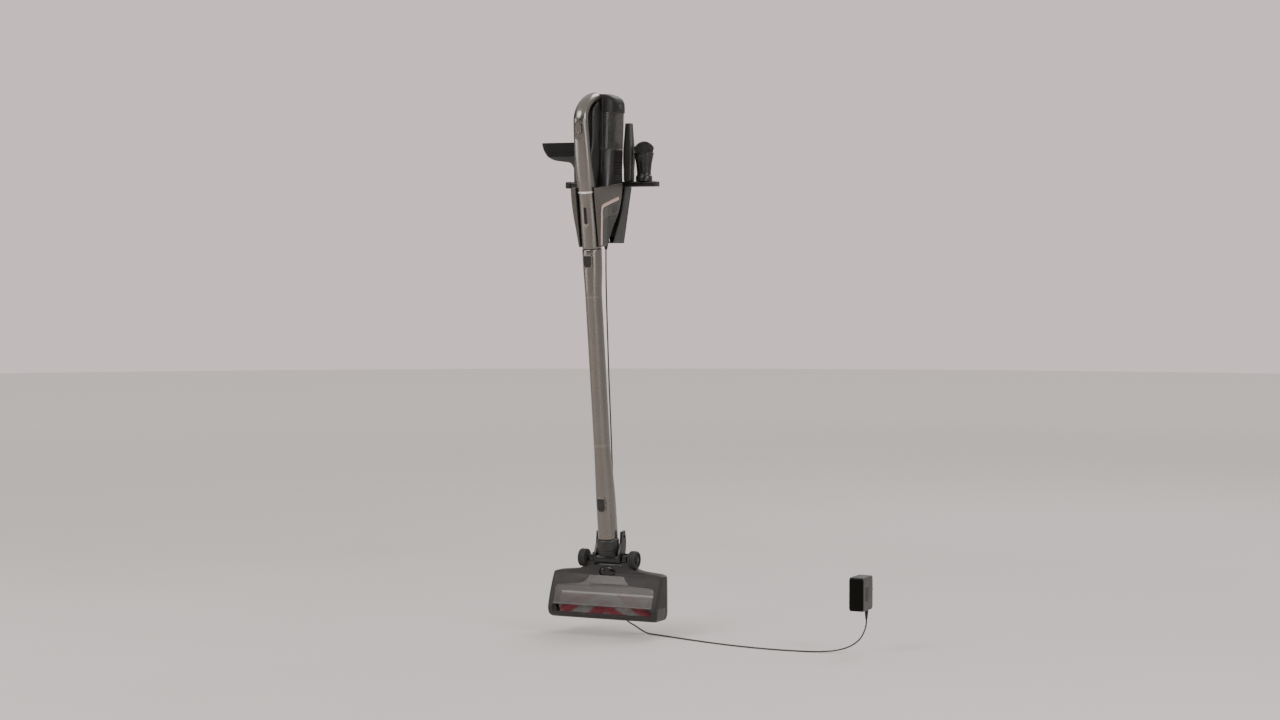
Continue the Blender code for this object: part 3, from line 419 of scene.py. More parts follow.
class Surface:
    """One procedural material, put together from noise layers on the piece's own coordinates."""

    def __init__(self, name, roughness, metallic=0.0, **uniform):
        self.made = bpy.data.materials.new(name)
        self.made.use_nodes = True
        self.tree = self.made.node_tree
        self.place = add_node(self.tree, "TexCoord", "Object")
        self.bump = None
        self.tone = None
        self.shade(Roughness=roughness, Metallic=metallic, **uniform)

    def shade(self, **values):
        """Set or link the shader's own sockets, whose names have spaces for underscores."""
        sockets = self.tree.nodes["Principled BSDF"].inputs
        for name, value in values.items():
            feed(self.tree, sockets[name.replace("_", " ")], value)
        return self

    def tint(self, share, first, second):
        self.tone = mixed(self.tree, share, first, second)
        return self.shade(Base_Color=self.tone)

    def noise(self, scale, detail, stretch=(1.0, 1.0, 1.0)):
        """Noise value round 0.5; stretch squeezes it along an axis."""
        squeezed = add_node(self.tree, "Mapping", "Vector", {"Scale": stretch, "Vector": self.place})
        return add_node(self.tree, "TexNoise", "Fac",
                        {"Scale": scale, "Detail": detail, "Vector": squeezed})

    def drift(self, low, high, *noise):
        return ranged(self.tree, self.noise(*noise), low, high, (0.3, 0.7))

    def colour(self, tone, spread, scale, stretch=(1.0, 1.0, 1.0)):
        """Base colour that drifts by spread to either side of tone."""
        light = tuple(min(c * (1.0 + spread), 1.0) for c in tone)
        dark = tuple(c * (1.0 - spread) for c in tone)
        return self.tint(self.drift(0.0, 1.0, scale, 4.0, stretch), dark, light)

    def gloss(self, low, high, scale=30.0):
        """Roughness that drifts between low and high, like handled plastic."""
        return self.shade(Roughness=self.drift(low, high, scale, 5.0))

    def grain(self, scale, height, detail=2.0, stretch=(1.0, 1.0, 1.0)):
        """Fine relief of that height in metres; each call adds to the last."""
        inputs = {"Strength": 1.0, "Distance": height, "Height": self.noise(scale, detail, stretch)}
        if self.bump:
            inputs["Normal"] = self.bump
        self.bump = add_node(self.tree, "Bump", "Normal", inputs)
        return self.shade(Normal=self.bump)

    def wear(self, tone, amount):
        """Lighter, scuffed tone along convex edges."""
        edge = add_node(self.tree, "NewGeometry", "Pointiness")
        return self.tint(ranged(self.tree, edge, 0.0, amount, (0.53, 0.62)), self.tone, tone)

    def away(self, tone, start, stop):
        """Another tone that takes over with distance from the piece's origin."""
        reach = add_node(self.tree, "VectorMath", "Value", {0: self.place}, operation="LENGTH")
        return self.tint(ranged(self.tree, reach, 0.0, 1.0, (start, stop)), self.tone, tone)

    def specks(self, tone, scale, size, amount):
        """Small flakes or dust of another tone."""
        cells = add_node(self.tree, "TexVoronoi", "Distance", {"Scale": scale, "Vector": self.place})
        return self.tint(ranged(self.tree, cells, amount, 0.0, (0.0, size)), self.tone, tone)


PLASTICS = (
    # key, name, tone, lowest and highest roughness, height of the grain, specular level
    ("black", "black_moulding", (0.0085, 0.008, 0.0075), 0.3, 0.4, 0.00003, 0.5),
    ("black_gloss", "black_gloss", (0.006, 0.006, 0.006), 0.12, 0.2, 0.000008, 0.5),
    ("dark", "dark_moulding", (0.016, 0.0155, 0.0145), 0.32, 0.42, 0.00003, 0.5),
    ("cover", "head_cover_moulding", (0.027, 0.025, 0.024), 0.44, 0.56, 0.00003, 0.26),
    ("lid", "lid_moulding", (0.007, 0.0065, 0.006), 0.36, 0.48, 0.00005, 0.3),
    ("tool", "tool_moulding", (0.012, 0.0115, 0.011), 0.22, 0.32, 0.00001, 0.5),
    ("nozzle", "nozzle_moulding", (0.0055, 0.0052, 0.0048), 0.4, 0.52, 0.00003, 0.22),
    ("charger_face", "charger_face", (0.004, 0.004, 0.003), 0.3, 0.42, 0.00003, 0.08),
    ("warm", "warm_grey_moulding", (0.062, 0.055, 0.048), 0.34, 0.46, 0.00003, 0.5),
    ("battery", "battery_moulding", (0.024, 0.026, 0.023), 0.42, 0.55, 0.00003, 0.5),
    ("cap", "battery_cap_moulding", (0.045, 0.044, 0.039), 0.36, 0.48, 0.00003, 0.5),
    ("dock", "dock_moulding", (0.022, 0.0215, 0.021), 0.4, 0.52, 0.00003, 0.5),
    ("button", "button_moulding", (0.012, 0.012, 0.011), 0.28, 0.4, 0.00003, 0.5),
    ("charger", "charger_moulding", (0.046, 0.045, 0.044), 0.45, 0.58, 0.00003, 0.5),
)
BRISTLES = (("bristle_red", (0.92, 0.27, 0.33)), ("bristle_white", (0.96, 0.91, 0.89)),
            ("bristle_black", (0.03, 0.029, 0.028)))


def plastic(name, tone, low, high, grain, specular):
    """Moulded plastic with spark-eroded grain, faint mottling and rubbed edges."""
    made = Surface(name, 0.5 * (low + high), Specular_IOR_Level=specular)
    made.colour(tone, 0.1, 22.0).gloss(low, high, 34.0)
    made.grain(1900.0, grain).grain(420.0, 0.5 * grain, 3.0)
    return made.wear(tuple(min(c * 1.9 + 0.02, 1.0) for c in tone), 0.45)


def make_surfaces():
    made = {key: plastic(*row) for key, *row in PLASTICS}
    pearl = Surface("pearl", 0.26, 0.92, Coat_Weight=0.25, Coat_Roughness=0.1)
    pearl.colour((0.186, 0.172, 0.156), 0.05, 9.0).specks((0.33, 0.305, 0.28), 2600.0, 0.25, 0.3)
    pearl.gloss(0.22, 0.3, 40.0).grain(2600.0, 0.00001).grain(70.0, 0.00001, 1.0)
    made["pearl"] = pearl.wear((0.56, 0.53, 0.49), 0.35)
    chrome = Surface("bright_trim", 0.12, 1.0).colour((0.9, 0.885, 0.86), 0.03, 40.0)
    made["chrome"] = chrome.gloss(0.08, 0.18, 90.0).grain(900.0, 0.000004)
    rose = Surface("rose_gold", 0.3, 0.75, Coat_Weight=0.2).colour((0.78, 0.545, 0.49), 0.05, 50.0)
    made["rose"] = rose.gloss(0.24, 0.36, 80.0).grain(2200.0, 0.000008).wear((0.92, 0.78, 0.72), 0.4)
    smoke = Surface("smoked_bin", 0.12, Alpha=0.6, IOR=1.46).colour((0.04, 0.039, 0.036), 0.06, 14.0)
    made["smoke"] = smoke.gloss(0.09, 0.15, 60.0).grain(60.0, 0.00002, 1.0)
    window = Surface("smoked_window", 0.2, Alpha=0.55, IOR=1.46, Specular_IOR_Level=0.35)
    window.colour((0.1, 0.088, 0.086), 0.06, 20.0)
    made["window"] = window.gloss(0.16, 0.26, 50.0).grain(80.0, 0.00002, 1.0)
    lip = Surface("window_edge", 0.16, 0.5, Coat_Weight=0.6, Coat_Roughness=0.08)
    made["lip"] = lip.colour((0.34, 0.33, 0.32), 0.06, 60.0).gloss(0.12, 0.22, 90.0).grain(
        1200.0, 0.000004)
    steel = Surface("brushed_steel", 0.3, 1.0).colour((0.56, 0.56, 0.57), 0.06, 60.0, (1.0, 1.0, 9.0))
    made["steel"] = steel.gloss(0.22, 0.38, 120.0).grain(900.0, 0.000008, 2.0, (1.0, 1.0, 8.0))
    gold = Surface("gold_plate", 0.25, 1.0).colour((0.82, 0.62, 0.3), 0.05, 80.0)
    made["gold"] = gold.gloss(0.18, 0.32).grain(1500.0, 0.000006)
    motor = Surface("motor_can_metal", 0.35, 0.9).colour((0.3, 0.29, 0.28), 0.1, 30.0)
    made["motor"] = motor.gloss(0.28, 0.44).grain(700.0, 0.00001)
    rubber = Surface("rubber", 0.8).colour((0.013, 0.0125, 0.012), 0.15, 25.0)
    rubber.gloss(0.66, 0.86, 50.0).specks((0.1, 0.095, 0.09), 900.0, 0.1, 0.35)
    made["rubber"] = rubber.grain(900.0, 0.00004).wear((0.07, 0.068, 0.065), 0.5)
    cord = Surface("cord_jacket", 0.55).colour((0.05, 0.045, 0.042), 0.14, 30.0)
    made["cord"] = cord.gloss(0.46, 0.64, 60.0).grain(1400.0, 0.00002)
    fleece = Surface("filter_fleece", 0.9, Sheen_Weight=0.3).colour((0.68, 0.67, 0.64), 0.1, 40.0)
    fleece.specks((0.36, 0.34, 0.31), 500.0, 0.2, 0.5)
    made["fleece"] = fleece.gloss(0.82, 0.95).grain(1200.0, 0.00008)
    for key, tone in BRISTLES:
        hair = Surface(key, 0.6, Sheen_Weight=0.25).colour(tone, 0.22, 160.0)
        made[key] = hair.gloss(0.5, 0.7, 90.0).grain(1500.0, 0.00003)
    # the floor is painted lighter from 2 m to 8 m out: painted light, brightening the far floor to meet
    # the backdrop
    floor = Surface("pale_floor", 0.7).colour((0.62, 0.585, 0.575), 0.012, 1.4).gloss(0.62, 0.78, 3.0)
    made["floor"] = floor.away((0.98, 0.93, 0.915), 2.0, 8.0).grain(160.0, 0.00004)
    return made


FINISH = {key: surface.made for key, surface in make_surfaces().items()}


# ---------------------------------------------------------------- camera, light and floor

def stand(name, data, at, turn):
    """Put a camera or a lamp at a place, with its rotation."""
    made = bpy.data.objects.new(name, data)
    made.location = at
    made.rotation_euler = turn
    bpy.context.scene.collection.objects.link(made)
    return made


def make_camera():
    lens = bpy.data.cameras.new("camera")
    lens.lens = 70.0
    lens.sensor_width = 36.0
    lens.clip_start = 0.05
    lens.clip_end = 100.0
    turn = (math.radians(87.7), 0.0, math.radians(25.5))
    bpy.context.scene.camera = stand("camera", lens, (2.522, -5.166, -0.104), turn)


def soft_light(name, at, aim, width, height, watts, tint):
    """Flat soft light at a place, turned to face aim."""
    lamp = bpy.data.lights.new(name, "AREA")
    lamp.shape = "RECTANGLE"
    lamp.size = width
    lamp.size_y = height
    lamp.energy = watts
    lamp.color = tint
    turn = (Vector(aim) - Vector(at)).to_track_quat("-Z", "Y").to_euler()
    stand(name, lamp, at, turn).visible_camera = False


def make_world():
    """Pale backdrop all round; what falls on the object is a dimmer room, darkest to one side."""
    world = bpy.data.worlds.new("studio")
    bpy.context.scene.world = world
    world.use_nodes = True
    tree = world.node_tree
    around = add_node(tree, "TexCoord", "Generated")

    def share_towards(way, start, stop):
        """Share from 0 to 1 as a direction's part along way runs from start to stop."""
        part = add_node(tree, "VectorMath", "Value", {0: around, 1: way}, operation="DOT_PRODUCT")
        return ranged(tree, part, 0.0, 1.0, (start, stop), interpolation_type="SMOOTHSTEP")

    walls = mixed(tree, share_towards(DARK_SIDE, 0.76, -0.48), (0.055, 0.052, 0.05),
                  (0.52, 0.5, 0.48))
    whole = mixed(tree, share_towards((0.0, 0.0, 1.0), 0.3, 0.75), walls, (0.85, 0.82, 0.79))
    room = add_node(tree, "Background", "Background", {"Color": whole, "Strength": 1.0})
    backdrop = tree.nodes["Background"]
    feed(tree, backdrop.inputs["Color"], (0.86, 0.735, 0.722))
    feed(tree, backdrop.inputs["Strength"], 1.04)
    seen = add_node(tree, "LightPath", "Is Camera Ray")
    both = add_node(tree, "MixShader", "Shader", {0: seen, 1: room, 2: backdrop.outputs["Background"]})
    feed(tree, tree.nodes["World Output"].inputs["Surface"], both)


def make_stage():
    maker = bmesh.new()
    bmesh.ops.create_circle(maker, cap_ends=True, segments=96, radius=FLOOR_RADIUS)
    floor = solid("floor", maker, Matrix.Translation((0.0, 0.0, FLOOR_Z)))
    floor.data.materials.append(FINISH["floor"])
    aim = (0.1, -0.06, -0.25)
    low_aim = (0.0, -0.08, -0.05)
    soft_light("key", (-1.6, -3.6, 2.6), aim, 2.4, 2.4, 120.0, (1.0, 0.975, 0.95))
    soft_light("side", (3.6, -0.9, 1.4), aim, 1.6, 1.6, 45.0, (1.0, 0.99, 0.98))
    soft_light("left_panel", (-2.62, -1.84, 0.08), low_aim, 1.5, 1.3, 17.0, (1.0, 0.98, 0.955))
    soft_light("right_panel", (2.3, -1.93, 0.08), low_aim, 1.1, 1.3, 12.0, (1.0, 0.99, 0.98))
    soft_light("back", (0.6, 3.0, 2.6), aim, 2.0, 2.0, 60.0, (1.0, 1.0, 1.0))
    make_world()


# ---------------------------------------------------------------- cord and charger

CORD_D = 0.0035
CORD_ROUTE = (
    (-0.0105, -0.038, -0.081), (-0.0105, -0.038, -0.1), (-0.0107, -0.0372, -0.14),
    (-0.0112, -0.0335, -0.2), (-0.012, -0.0265, -0.28), (-0.0125, -0.0185, -0.38),
    (-0.012, -0.0105, -0.48), (-0.011, -0.0048, -0.58), (-0.009, -0.0026, -0.68),
    (-0.0045, -0.0024, -0.77), (0.0025, -0.0024, -0.85), (0.0085, -0.0024, -0.902),
    (0.0175, -0.0026, -0.929), (0.03, -0.0032, -0.9405), (0.046, -0.0046, -0.9475),
    (0.064, -0.008, -0.956), (0.085, -0.014, -0.9622), (0.115, -0.023, -0.963),
    (0.165, -0.04, -0.9632), (0.224, -0.061, -0.9632), (0.29, -0.0815, -0.9632),
    (0.355, -0.096, -0.9632), (0.425, -0.104, -0.9632), (0.49, -0.102, -0.9632),
    (0.54, -0.093, -0.9626), (0.575, -0.0805, -0.959), (0.601, -0.066, -0.95),
    (0.617, -0.05, -0.9355), (0.6228, -0.035, -0.917), (0.6235, -0.0275, -0.903),
    (0.6235, -0.027, -0.8945), (0.6235, -0.027, -0.87), (0.6235, -0.027, -0.828),
)


def make_cord(pieces):
    curve = bpy.data.curves.new("cord", "CURVE")
    curve.dimensions = "3D"
    curve.bevel_depth = 0.5 * CORD_D
    curve.bevel_resolution = 4
    curve.use_fill_caps = True
    points = smooth_route(CORD_ROUTE, 6)
    spline = curve.splines.new("POLY")
    spline.points.add(len(points) - 1)
    for knot, point in zip(spline.points, points):
        knot.co = (*point, 1.0)
    made = bpy.data.objects.new("cord", curve)
    bpy.context.scene.collection.objects.link(made)
    settle(made, "cord", "dock", "charging_cord")


def make_charger():
    """Plug-in charger with a parting line, finger grooves and a ribbed strain relief."""
    low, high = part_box("charger_body")
    made = slab("charger", low, high, 0.0034, axis=0, corner=0.006)
    seam_y = low[1] + 0.62 * (high[1] - low[1])
    past, deep = 0.01, 0.0004
    for x, z in (((low[0] - past, low[0] + deep), (low[2] - past, high[2] + past)),
                 ((high[0] - deep, high[0] + past), (low[2] - past, high[2] + past)),
                 ((low[0] - past, high[0] + past), (high[2] - deep, high[2] + past))):
        carve(made, slab("seam", (x[0], seam_y, z[0]), (x[1], seam_y + 0.0006, z[1]), 0.0001))
    for step in range(5):
        y = low[1] + 0.012 + 0.0045 * step
        for x in (low[0], high[0]):
            carve(made, slab("groove", (x - 0.0006, y, low[2] + 0.022),
                             (x + 0.0006, y + 0.0018, high[2] - 0.022), 0.0003))
    settle(cleaned(made), "charger", "dock", "charger_body")
    paint_some(made, "charger_face", lambda face: face.normal.y < -0.6)
    low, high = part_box("charger_strain_relief")
    middle = (0.5 * (low[0] + high[0]), 0.5 * (low[1] + high[1]), 0.0)
    radius = 0.5 * (high[0] - low[0])
    profile = [(0.0022, low[2])]
    ribs = 6
    rise = (high[2] - low[2] - 0.004) / ribs
    for rib in range(ribs):
        base = low[2] + 0.0008 + rise * rib
        wide = 0.0026 + (radius - 0.0028) * (rib + 0.5) / ribs
        profile += [(wide, base), (wide, base + 0.62 * rise), (wide - 0.0006, base + 0.68 * rise),
                    (wide - 0.0006, base + 0.95 * rise)]
    profile += [(radius, high[2] - 0.0028), (radius, high[2] - 0.0004), (radius - 0.0004, high[2])]
    relief = spun("strain_relief", profile, centre=middle, segments=32)
    settle(relief, "rubber", "dock", "charger_strain_relief")
    return [made, relief, *(keep("charger_pin_" + side, "steel") for side in ("left", "right"))]


# ---------------------------------------------------------------- handle

SPINE = (
    # height, half width, front, rear
    (0.0, 0.0212, -0.0195, 0.0195),
    (0.05, 0.0218, -0.0205, 0.0185),
    (0.096, 0.0214, -0.0218, 0.016),
    (0.128, 0.0208, -0.024, 0.0115),
    (0.153, 0.0203, -0.0262, 0.0035),
    (0.185, 0.0197, -0.028, -0.005),
    (0.212, 0.0191, -0.0292, -0.0092),
    (0.236, 0.0184, -0.03, -0.0105),
    (0.262, 0.0177, -0.0306, -0.0105),
    (0.288, 0.0168, -0.031, -0.0084),
)
ARCH_CENTRE = (0.059, 0.288)
ARCH_OUTER = (0.09, 0.06)
ARCH_INNER = (0.0674, 0.04)


def arch_ring(turn):
    """Cross-section of the arch, turn radians round from the front of the spine to its top."""
    outer, inner = (Vector((0.0, ARCH_CENTRE[0] - radii[0] * math.cos(turn),
                            ARCH_CENTRE[1] + radii[1] * math.sin(turn)))
                    for radii in (ARCH_OUTER, ARCH_INNER))
    thick = (inner - outer).length
    step = (inner - outer) / thick
    half = 0.0168 - 0.0038 * turn / QUARTER
    return [outer + step * point.y + Vector((point.x, 0.0, 0.0))
            for point in crowned(half, 0.0, thick, 0.0)]


def prism(name, half, low, high, front, back, top_round, foot_round=None):
    """Upright rounded plate, low to high, reaching from front to back in depth."""
    foot_round = top_round if foot_round is None else foot_round
    flat = outline(half, low, high, 0.0, foot_round, top_round)
    return loft(name, [[Vector((p.x, depth, p.y)) for p in flat] for depth in (front, back)],
                LEANING)


def make_spine():
    rings = [crowned(half, front, rear, height) for height, half, front, rear in eased(SPINE, 56)]
    rings += [arch_ring(QUARTER * step / 30) for step in range(1, 31)]
    made = loft("spine", softened(rings, 0.0022, 0.0012), LEANING)
    carve(made, prism("recess", 0.0108, 0.246, 0.29, -0.04, -0.0284, 0.0107),
          prism("pocket", 0.0073, 0.2608, 0.2857, -0.04, -0.0254, 0.0072),
          prism("slot", 0.0036, 0.0566, 0.0954, -0.04, -0.0186, 0.0035),
          spun("bore", [(0.0153, -0.01), (0.0153, 0.034)], LEANING))
    settle(cleaned(made, 0.0005), "pearl", "handle", "spine_shell")


def make_bar():
    table = (
        (0.14, 0.0094, 0.0226), (0.153, 0.0044, 0.0262), (0.185, -0.0042, 0.0345),
        (0.205, -0.0068, 0.0395), (0.218, 0.0004, 0.041), (0.235, 0.008, 0.0438),
        (0.265, 0.0145, 0.0484), (0.3, 0.0185, 0.0545), (0.315, 0.025, 0.0565),
        (0.3255, 0.044, 0.057),
    )
    half, deep = 0.0138, 0.0005
    rings = [outline(half, front, rear, height, 0.0048, 0.002)
             for height, front, rear in eased(table, 60)]
    made = loft("bar", softened(rings, 0.001), LEANING)
    carve(made, *(slab("groove", (side * half - deep, 0.03, 0.15), (side * half + deep, 0.0312, 0.31),
                       0.0002, LEANING) for side, _ in SIDES))
    settle(cleaned(made), "black", "handle", "handle_bar")


def make_trim_ring():
    low, high = 0.1262, 0.1308
    rings = []
    for height, grow in ((low, 0.0006), (low + 0.0007, 0.0012), (high - 0.0007, 0.0012),
                         (high, 0.0006), (high, 0.0001), (low, 0.0001)):
        half, front, rear = row_at(SPINE, height)
        rings.append(crowned(half + grow, front - grow, rear + grow, height))
    settle(loft("trim", rings, LEANING, closed=True), "chrome", "handle", "trim_ring")


def make_handle_controls():
    made = prism("power", 0.0067, 0.2615, 0.285, -0.0317, -0.0268, 0.0066)
    carve(made, prism("dish", 0.005, 0.2632, 0.2833, -0.04, -0.031, 0.0049))
    settle(cleaned(made, 0.0005), "pearl", "power_button", "power_button")
    lens = prism("lens", 0.0031, 0.0578, 0.0942, -0.0203, -0.019, 0.003)
    round_edges(lens, 0.0004)
    settle(lens, "black_gloss", "handle", "indicator_lens")


# ---------------------------------------------------------------- power unit

CASING = (
    # height, half width, front, rear, rear corner radius
    (0.004, 0.0275, -0.0105, 0.0285, 0.003),
    (0.04, 0.031, -0.0125, 0.059, 0.011),
    (0.074, 0.0345, -0.015, 0.0895, 0.013),
    (0.097, 0.036, -0.0165, 0.102, 0.014),
    (0.1165, 0.0365, -0.0175, 0.109, 0.014),
    (0.1385, 0.0365, -0.018, 0.1148, 0.014),
)
CASING_TOP = 0.1385
BATTERY_FRONT = 0.0235
BATTERY_SPLIT = 0.0697
BATTERY_TOP = 0.0968
RELEASE_Z = 0.083
HOOK_HALF = 0.0138
HOOK_DEPTH = (0.0912, 0.18)
UNIT = (
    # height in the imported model's frame, half width, front, rear, front and rear corner radius
    (0.1, 0.0368, -0.12, -0.0285, 0.026, 0.028),
    (0.1462, 0.0375, -0.1166, -0.0212, 0.03, 0.034),
    (0.19, 0.0386, -0.115, -0.0196, 0.031, 0.0345),
    (0.231, 0.0398, -0.1138, -0.018, 0.032, 0.035),
)


def wedge(low, high, count, front=None):
    """Rings of the casing's outline, or of its stretch behind front."""
    rings = []
    for step in range(count + 1):
        height = low + (high - low) * step / count
        half, own_front, rear, radius = row_at(CASING, height)
        start, corner = (own_front, 0.003) if front is None else (front, 0.001)
        rings.append(outline(half, start, rear, height, corner, radius))
    return rings


def plain_box(name, low, high, place=UPRIGHT):
    maker = bmesh.new()
    for vert in bmesh.ops.create_cube(maker, size=1.0)["verts"]:
        vert.co = [low[k] + (vert.co[k] + 0.5) * (high[k] - low[k]) for k in range(3)]
    return solid(name, maker, place)


def hook_pocket(low, high):
    """Room for the dock's peg at the back of the casing and the battery's cap."""
    return plain_box("hook", (-HOOK_HALF, HOOK_DEPTH[0], low), (HOOK_HALF, HOOK_DEPTH[1], high),
                     LEANING)


def make_casing():
    made = loft("casing", softened(wedge(0.004, CASING_TOP, 40), 0.001), LEANING)
    carve(made, plain_box("channel", (-0.0232, -0.06, -0.02), (0.0232, 0.0208, 0.16), LEANING),
          plain_box("bay", (-0.06, 0.0232, -0.02), (0.06, 0.2, BATTERY_TOP + GAP), LEANING),
          hook_pocket(0.08, 0.118))
    settle(cleaned(made, 0.0006), "warm", "power_unit", "unit_casing")


def casing_panel(side, name, foot, top, finish):
    """Thin inlay on the casing's side, between the strip and the battery."""
    rings = []
    for step in range(9):
        share = step / 8.0
        height = foot[0] + (top[0] - foot[0]) * share
        front = (0.0008 - 0.0042 * min(height / 0.074, 1.0), height)
        rear = (0.0228, foot[1] + (top[1] - foot[1]) * share)
        rings.append([Vector((side * (reading(CASING, 1, level) + proud), depth, level))
                      for proud, (depth, level) in ((-0.0003, front), (0.0003, front),
                                                    (0.0003, rear), (-0.0003, rear))])
    settle(loft(name, rings, LEANING), finish, "power_unit", slot="dark_plastic")


def make_accents():
    """Bent bright strip on each side of the casing, with two inlays behind it."""
    route = [(0.0, -0.004, 0.008), (0.0, -0.0058, 0.04), (0.0, -0.008, 0.074),
             (0.0, -0.0084, 0.085), (0.0, -0.0056, 0.0925), (0.0, 0.001, 0.0968),
             (0.0, 0.033, 0.101), (0.0, 0.078, 0.1062)]
    section = [(0.0038, -0.0006), (0.0038, 0.0003), (0.0034, 0.0006), (0.0016, 0.00075)]
    section += [(-across, proud) for across, proud in section[::-1]]
    for side, name in SIDES:
        path = [Vector((side * (reading(CASING, 1, point.z) + GAP), point.y, point.z))
                for point in smooth_route(route, 8)]
        made = sweep("accent_" + name, path, section, LEANING, Vector((side, 0.0, 0.0)))
        settle(made, "rose", "power_unit", "accent_strip_" + name)
        casing_panel(side, "flank_low_" + name, (0.007, 0.007), (0.06, BATTERY_SPLIT), "battery")
        casing_panel(side, "flank_high_" + name, (0.0608, BATTERY_SPLIT + 0.0008), (0.085, 0.095),
                     "cap")


def make_battery():
    """Battery pack with ribbed grips, and its cap with a release button on each side."""
    rings = wedge(0.0045, BATTERY_SPLIT, 24, BATTERY_FRONT)
    pack = loft("battery", softened(rings, 0.0009), LEANING)
    for side, _ in SIDES:
        for step in range(6):
            low = 0.026 + 0.006 * step
            face = side * reading(CASING, 1, low)
            back = 0.033 + 0.0055 * step + 0.004
            carve(pack, slab("grip", (face - 0.0007, 0.033, low), (face + 0.0007, back, low + 0.0022),
                             0.0003, LEANING))
    settle(cleaned(pack, 0.0005), "battery", "battery", "battery_pack")
    rings = wedge(BATTERY_SPLIT + GAP, BATTERY_TOP, 10, BATTERY_FRONT)
    cap = loft("battery_lid", softened(rings, 0.0007), LEANING)
    carve(cap, hook_pocket(0.05, 0.12))
    for side, _ in SIDES:
        face = side * reading(CASING, 1, RELEASE_Z)
        ends = sorted((face - side * 0.0045, face + side * 0.01))
        carve(cap, slab("well", (ends[0], 0.049, 0.0756), (ends[1], 0.071, 0.0904), 0.0002,
                        LEANING, axis=0, corner=0.003))
    settle(cleaned(cap, 0.0005), "cap", "battery", "battery_cap")
    for side, name in SIDES:
        face = side * reading(CASING, 1, RELEASE_Z)
        top = face + side * 0.0008
        ends = sorted((face - side * 0.0022, top))
        button = slab("release_" + name, (ends[0], 0.0495, 0.0761), (ends[1], 0.0705, 0.0899),
                      0.0006, LEANING, axis=0, corner=0.0028)
        for step in range(4):
            y = 0.0535 + 0.004 * step
            carve(button, slab("rib", (top - 0.0004, y, 0.0785), (top + 0.0004, y + 0.0014, 0.0875),
                               0.0001, LEANING))
        settle(cleaned(button), "cap", "battery_button_" + name, "battery_release_" + name)


def unit_ring(height, shrink=0.0):
    half, front, rear, round_front, round_rear = row_at(UNIT, height)
    return outline(half - shrink, front + shrink, rear - shrink, height,
                   round_front - shrink, round_rear - shrink)


def blended(first, second, count):
    """Rings between two rings, without the two."""
    return [[a.lerp(b, step / count) for a, b in zip(first, second)] for step in range(1, count)]


def make_motor_housing():
    """Open cup from the casing's leaning top to the bin, with a seam and side vents."""
    wall = 0.0022
    low, high = HOUSING_Z
    foot = [LEANING @ point for point in outline(0.0363, 0.025, 0.114, 0.1388, 0.014)]
    floor = [LEANING @ point for point in outline(0.034, 0.0275, 0.111, 0.1413, 0.013)]
    rings = [foot] + blended(foot, unit_ring(low), 6)
    rings += [unit_ring(low + (high - low) * step / 10) for step in range(10)]
    rings += [shrunk(unit_ring(height), inset)
              for height, inset in ((0.142, 0.0), (0.1424, 0.0004), (0.143, 0.0004),
                                    (0.1434, 0.0), (high, 0.0005), (high, 0.0009))]
    rings += [unit_ring(high, wall), unit_ring(low, wall), floor]
    made = loft("motor_shell", rings)
    vents = bmesh.new()
    size = (0.003, 0.0042, 0.0022)
    for side, _ in SIDES:
        for row in range(5):
            for column in range(9):
                at = (side * 0.0371, -0.09 + 0.006 * column, 0.092 + 0.0062 * row)
                for vert in bmesh.ops.create_cube(vents, size=1.0)["verts"]:
                    vert.co = [at[k] + vert.co[k] * size[k] for k in range(3)]
    carve(made, solid("vents", vents))
    settle(cleaned(made), "black", "power_unit", "motor_housing")


def make_highlight_beads():
    """Fine raised upright beads on the front of housing, bin and lid; their lighter tone is painted
    highlight, standing in for light reflected along edges.
    """
    for name, body, low, high in (("housing", "power_unit", 0.09, 0.1455),
                                  ("bin", "power_unit", 0.1472, 0.23),
                                  ("lid", "lid", 0.2316, 0.259)):
        beads = []
        for side, _ in SIDES:
            for x, width in ((0.0066, 0.0009), (0.0172, 0.0011)):
                rings = []
                for step in range(9):
                    z = low + (high - low) * step / 8
                    if body == "lid":
                        half, y, turn_in = 0.04, -0.1136 + 0.12 * max(z - 0.25, 0.0), 0.033
                    else:
                        half, y, _, turn_in, _ = row_at(UNIT, z)
                    past = max(x - (half - turn_in), 0.0)
                    y += turn_in - math.sqrt(max(turn_in ** 2 - past ** 2, 0.0))
                    rings.append(outline(width, y - 0.0005, y + 0.0008, z, 0.0004, middle=side * x))
                beads.append(loft("bead", rings))
        weld(*beads)
        beads[0].name = name + "_beads"
        # the lighter cap finish on the beads is painted highlight, not the housing's own colour
        settle(beads[0], "cap", body, slot="dark_plastic")


def make_outlet():
    """Dark rounded outlet under the cone, seen through the bin."""
    profile = [(0.0135, 0.1492), (0.0235, 0.1492), (0.024, 0.151), (0.0235, 0.16),
               (0.02, 0.165), (0.0158, 0.1668), (0.0135, 0.1668)]
    settle(spun("outlet", profile, centre=UNIT_AXIS, closed=True), "black_gloss",
           "power_unit", slot="black_plastic")


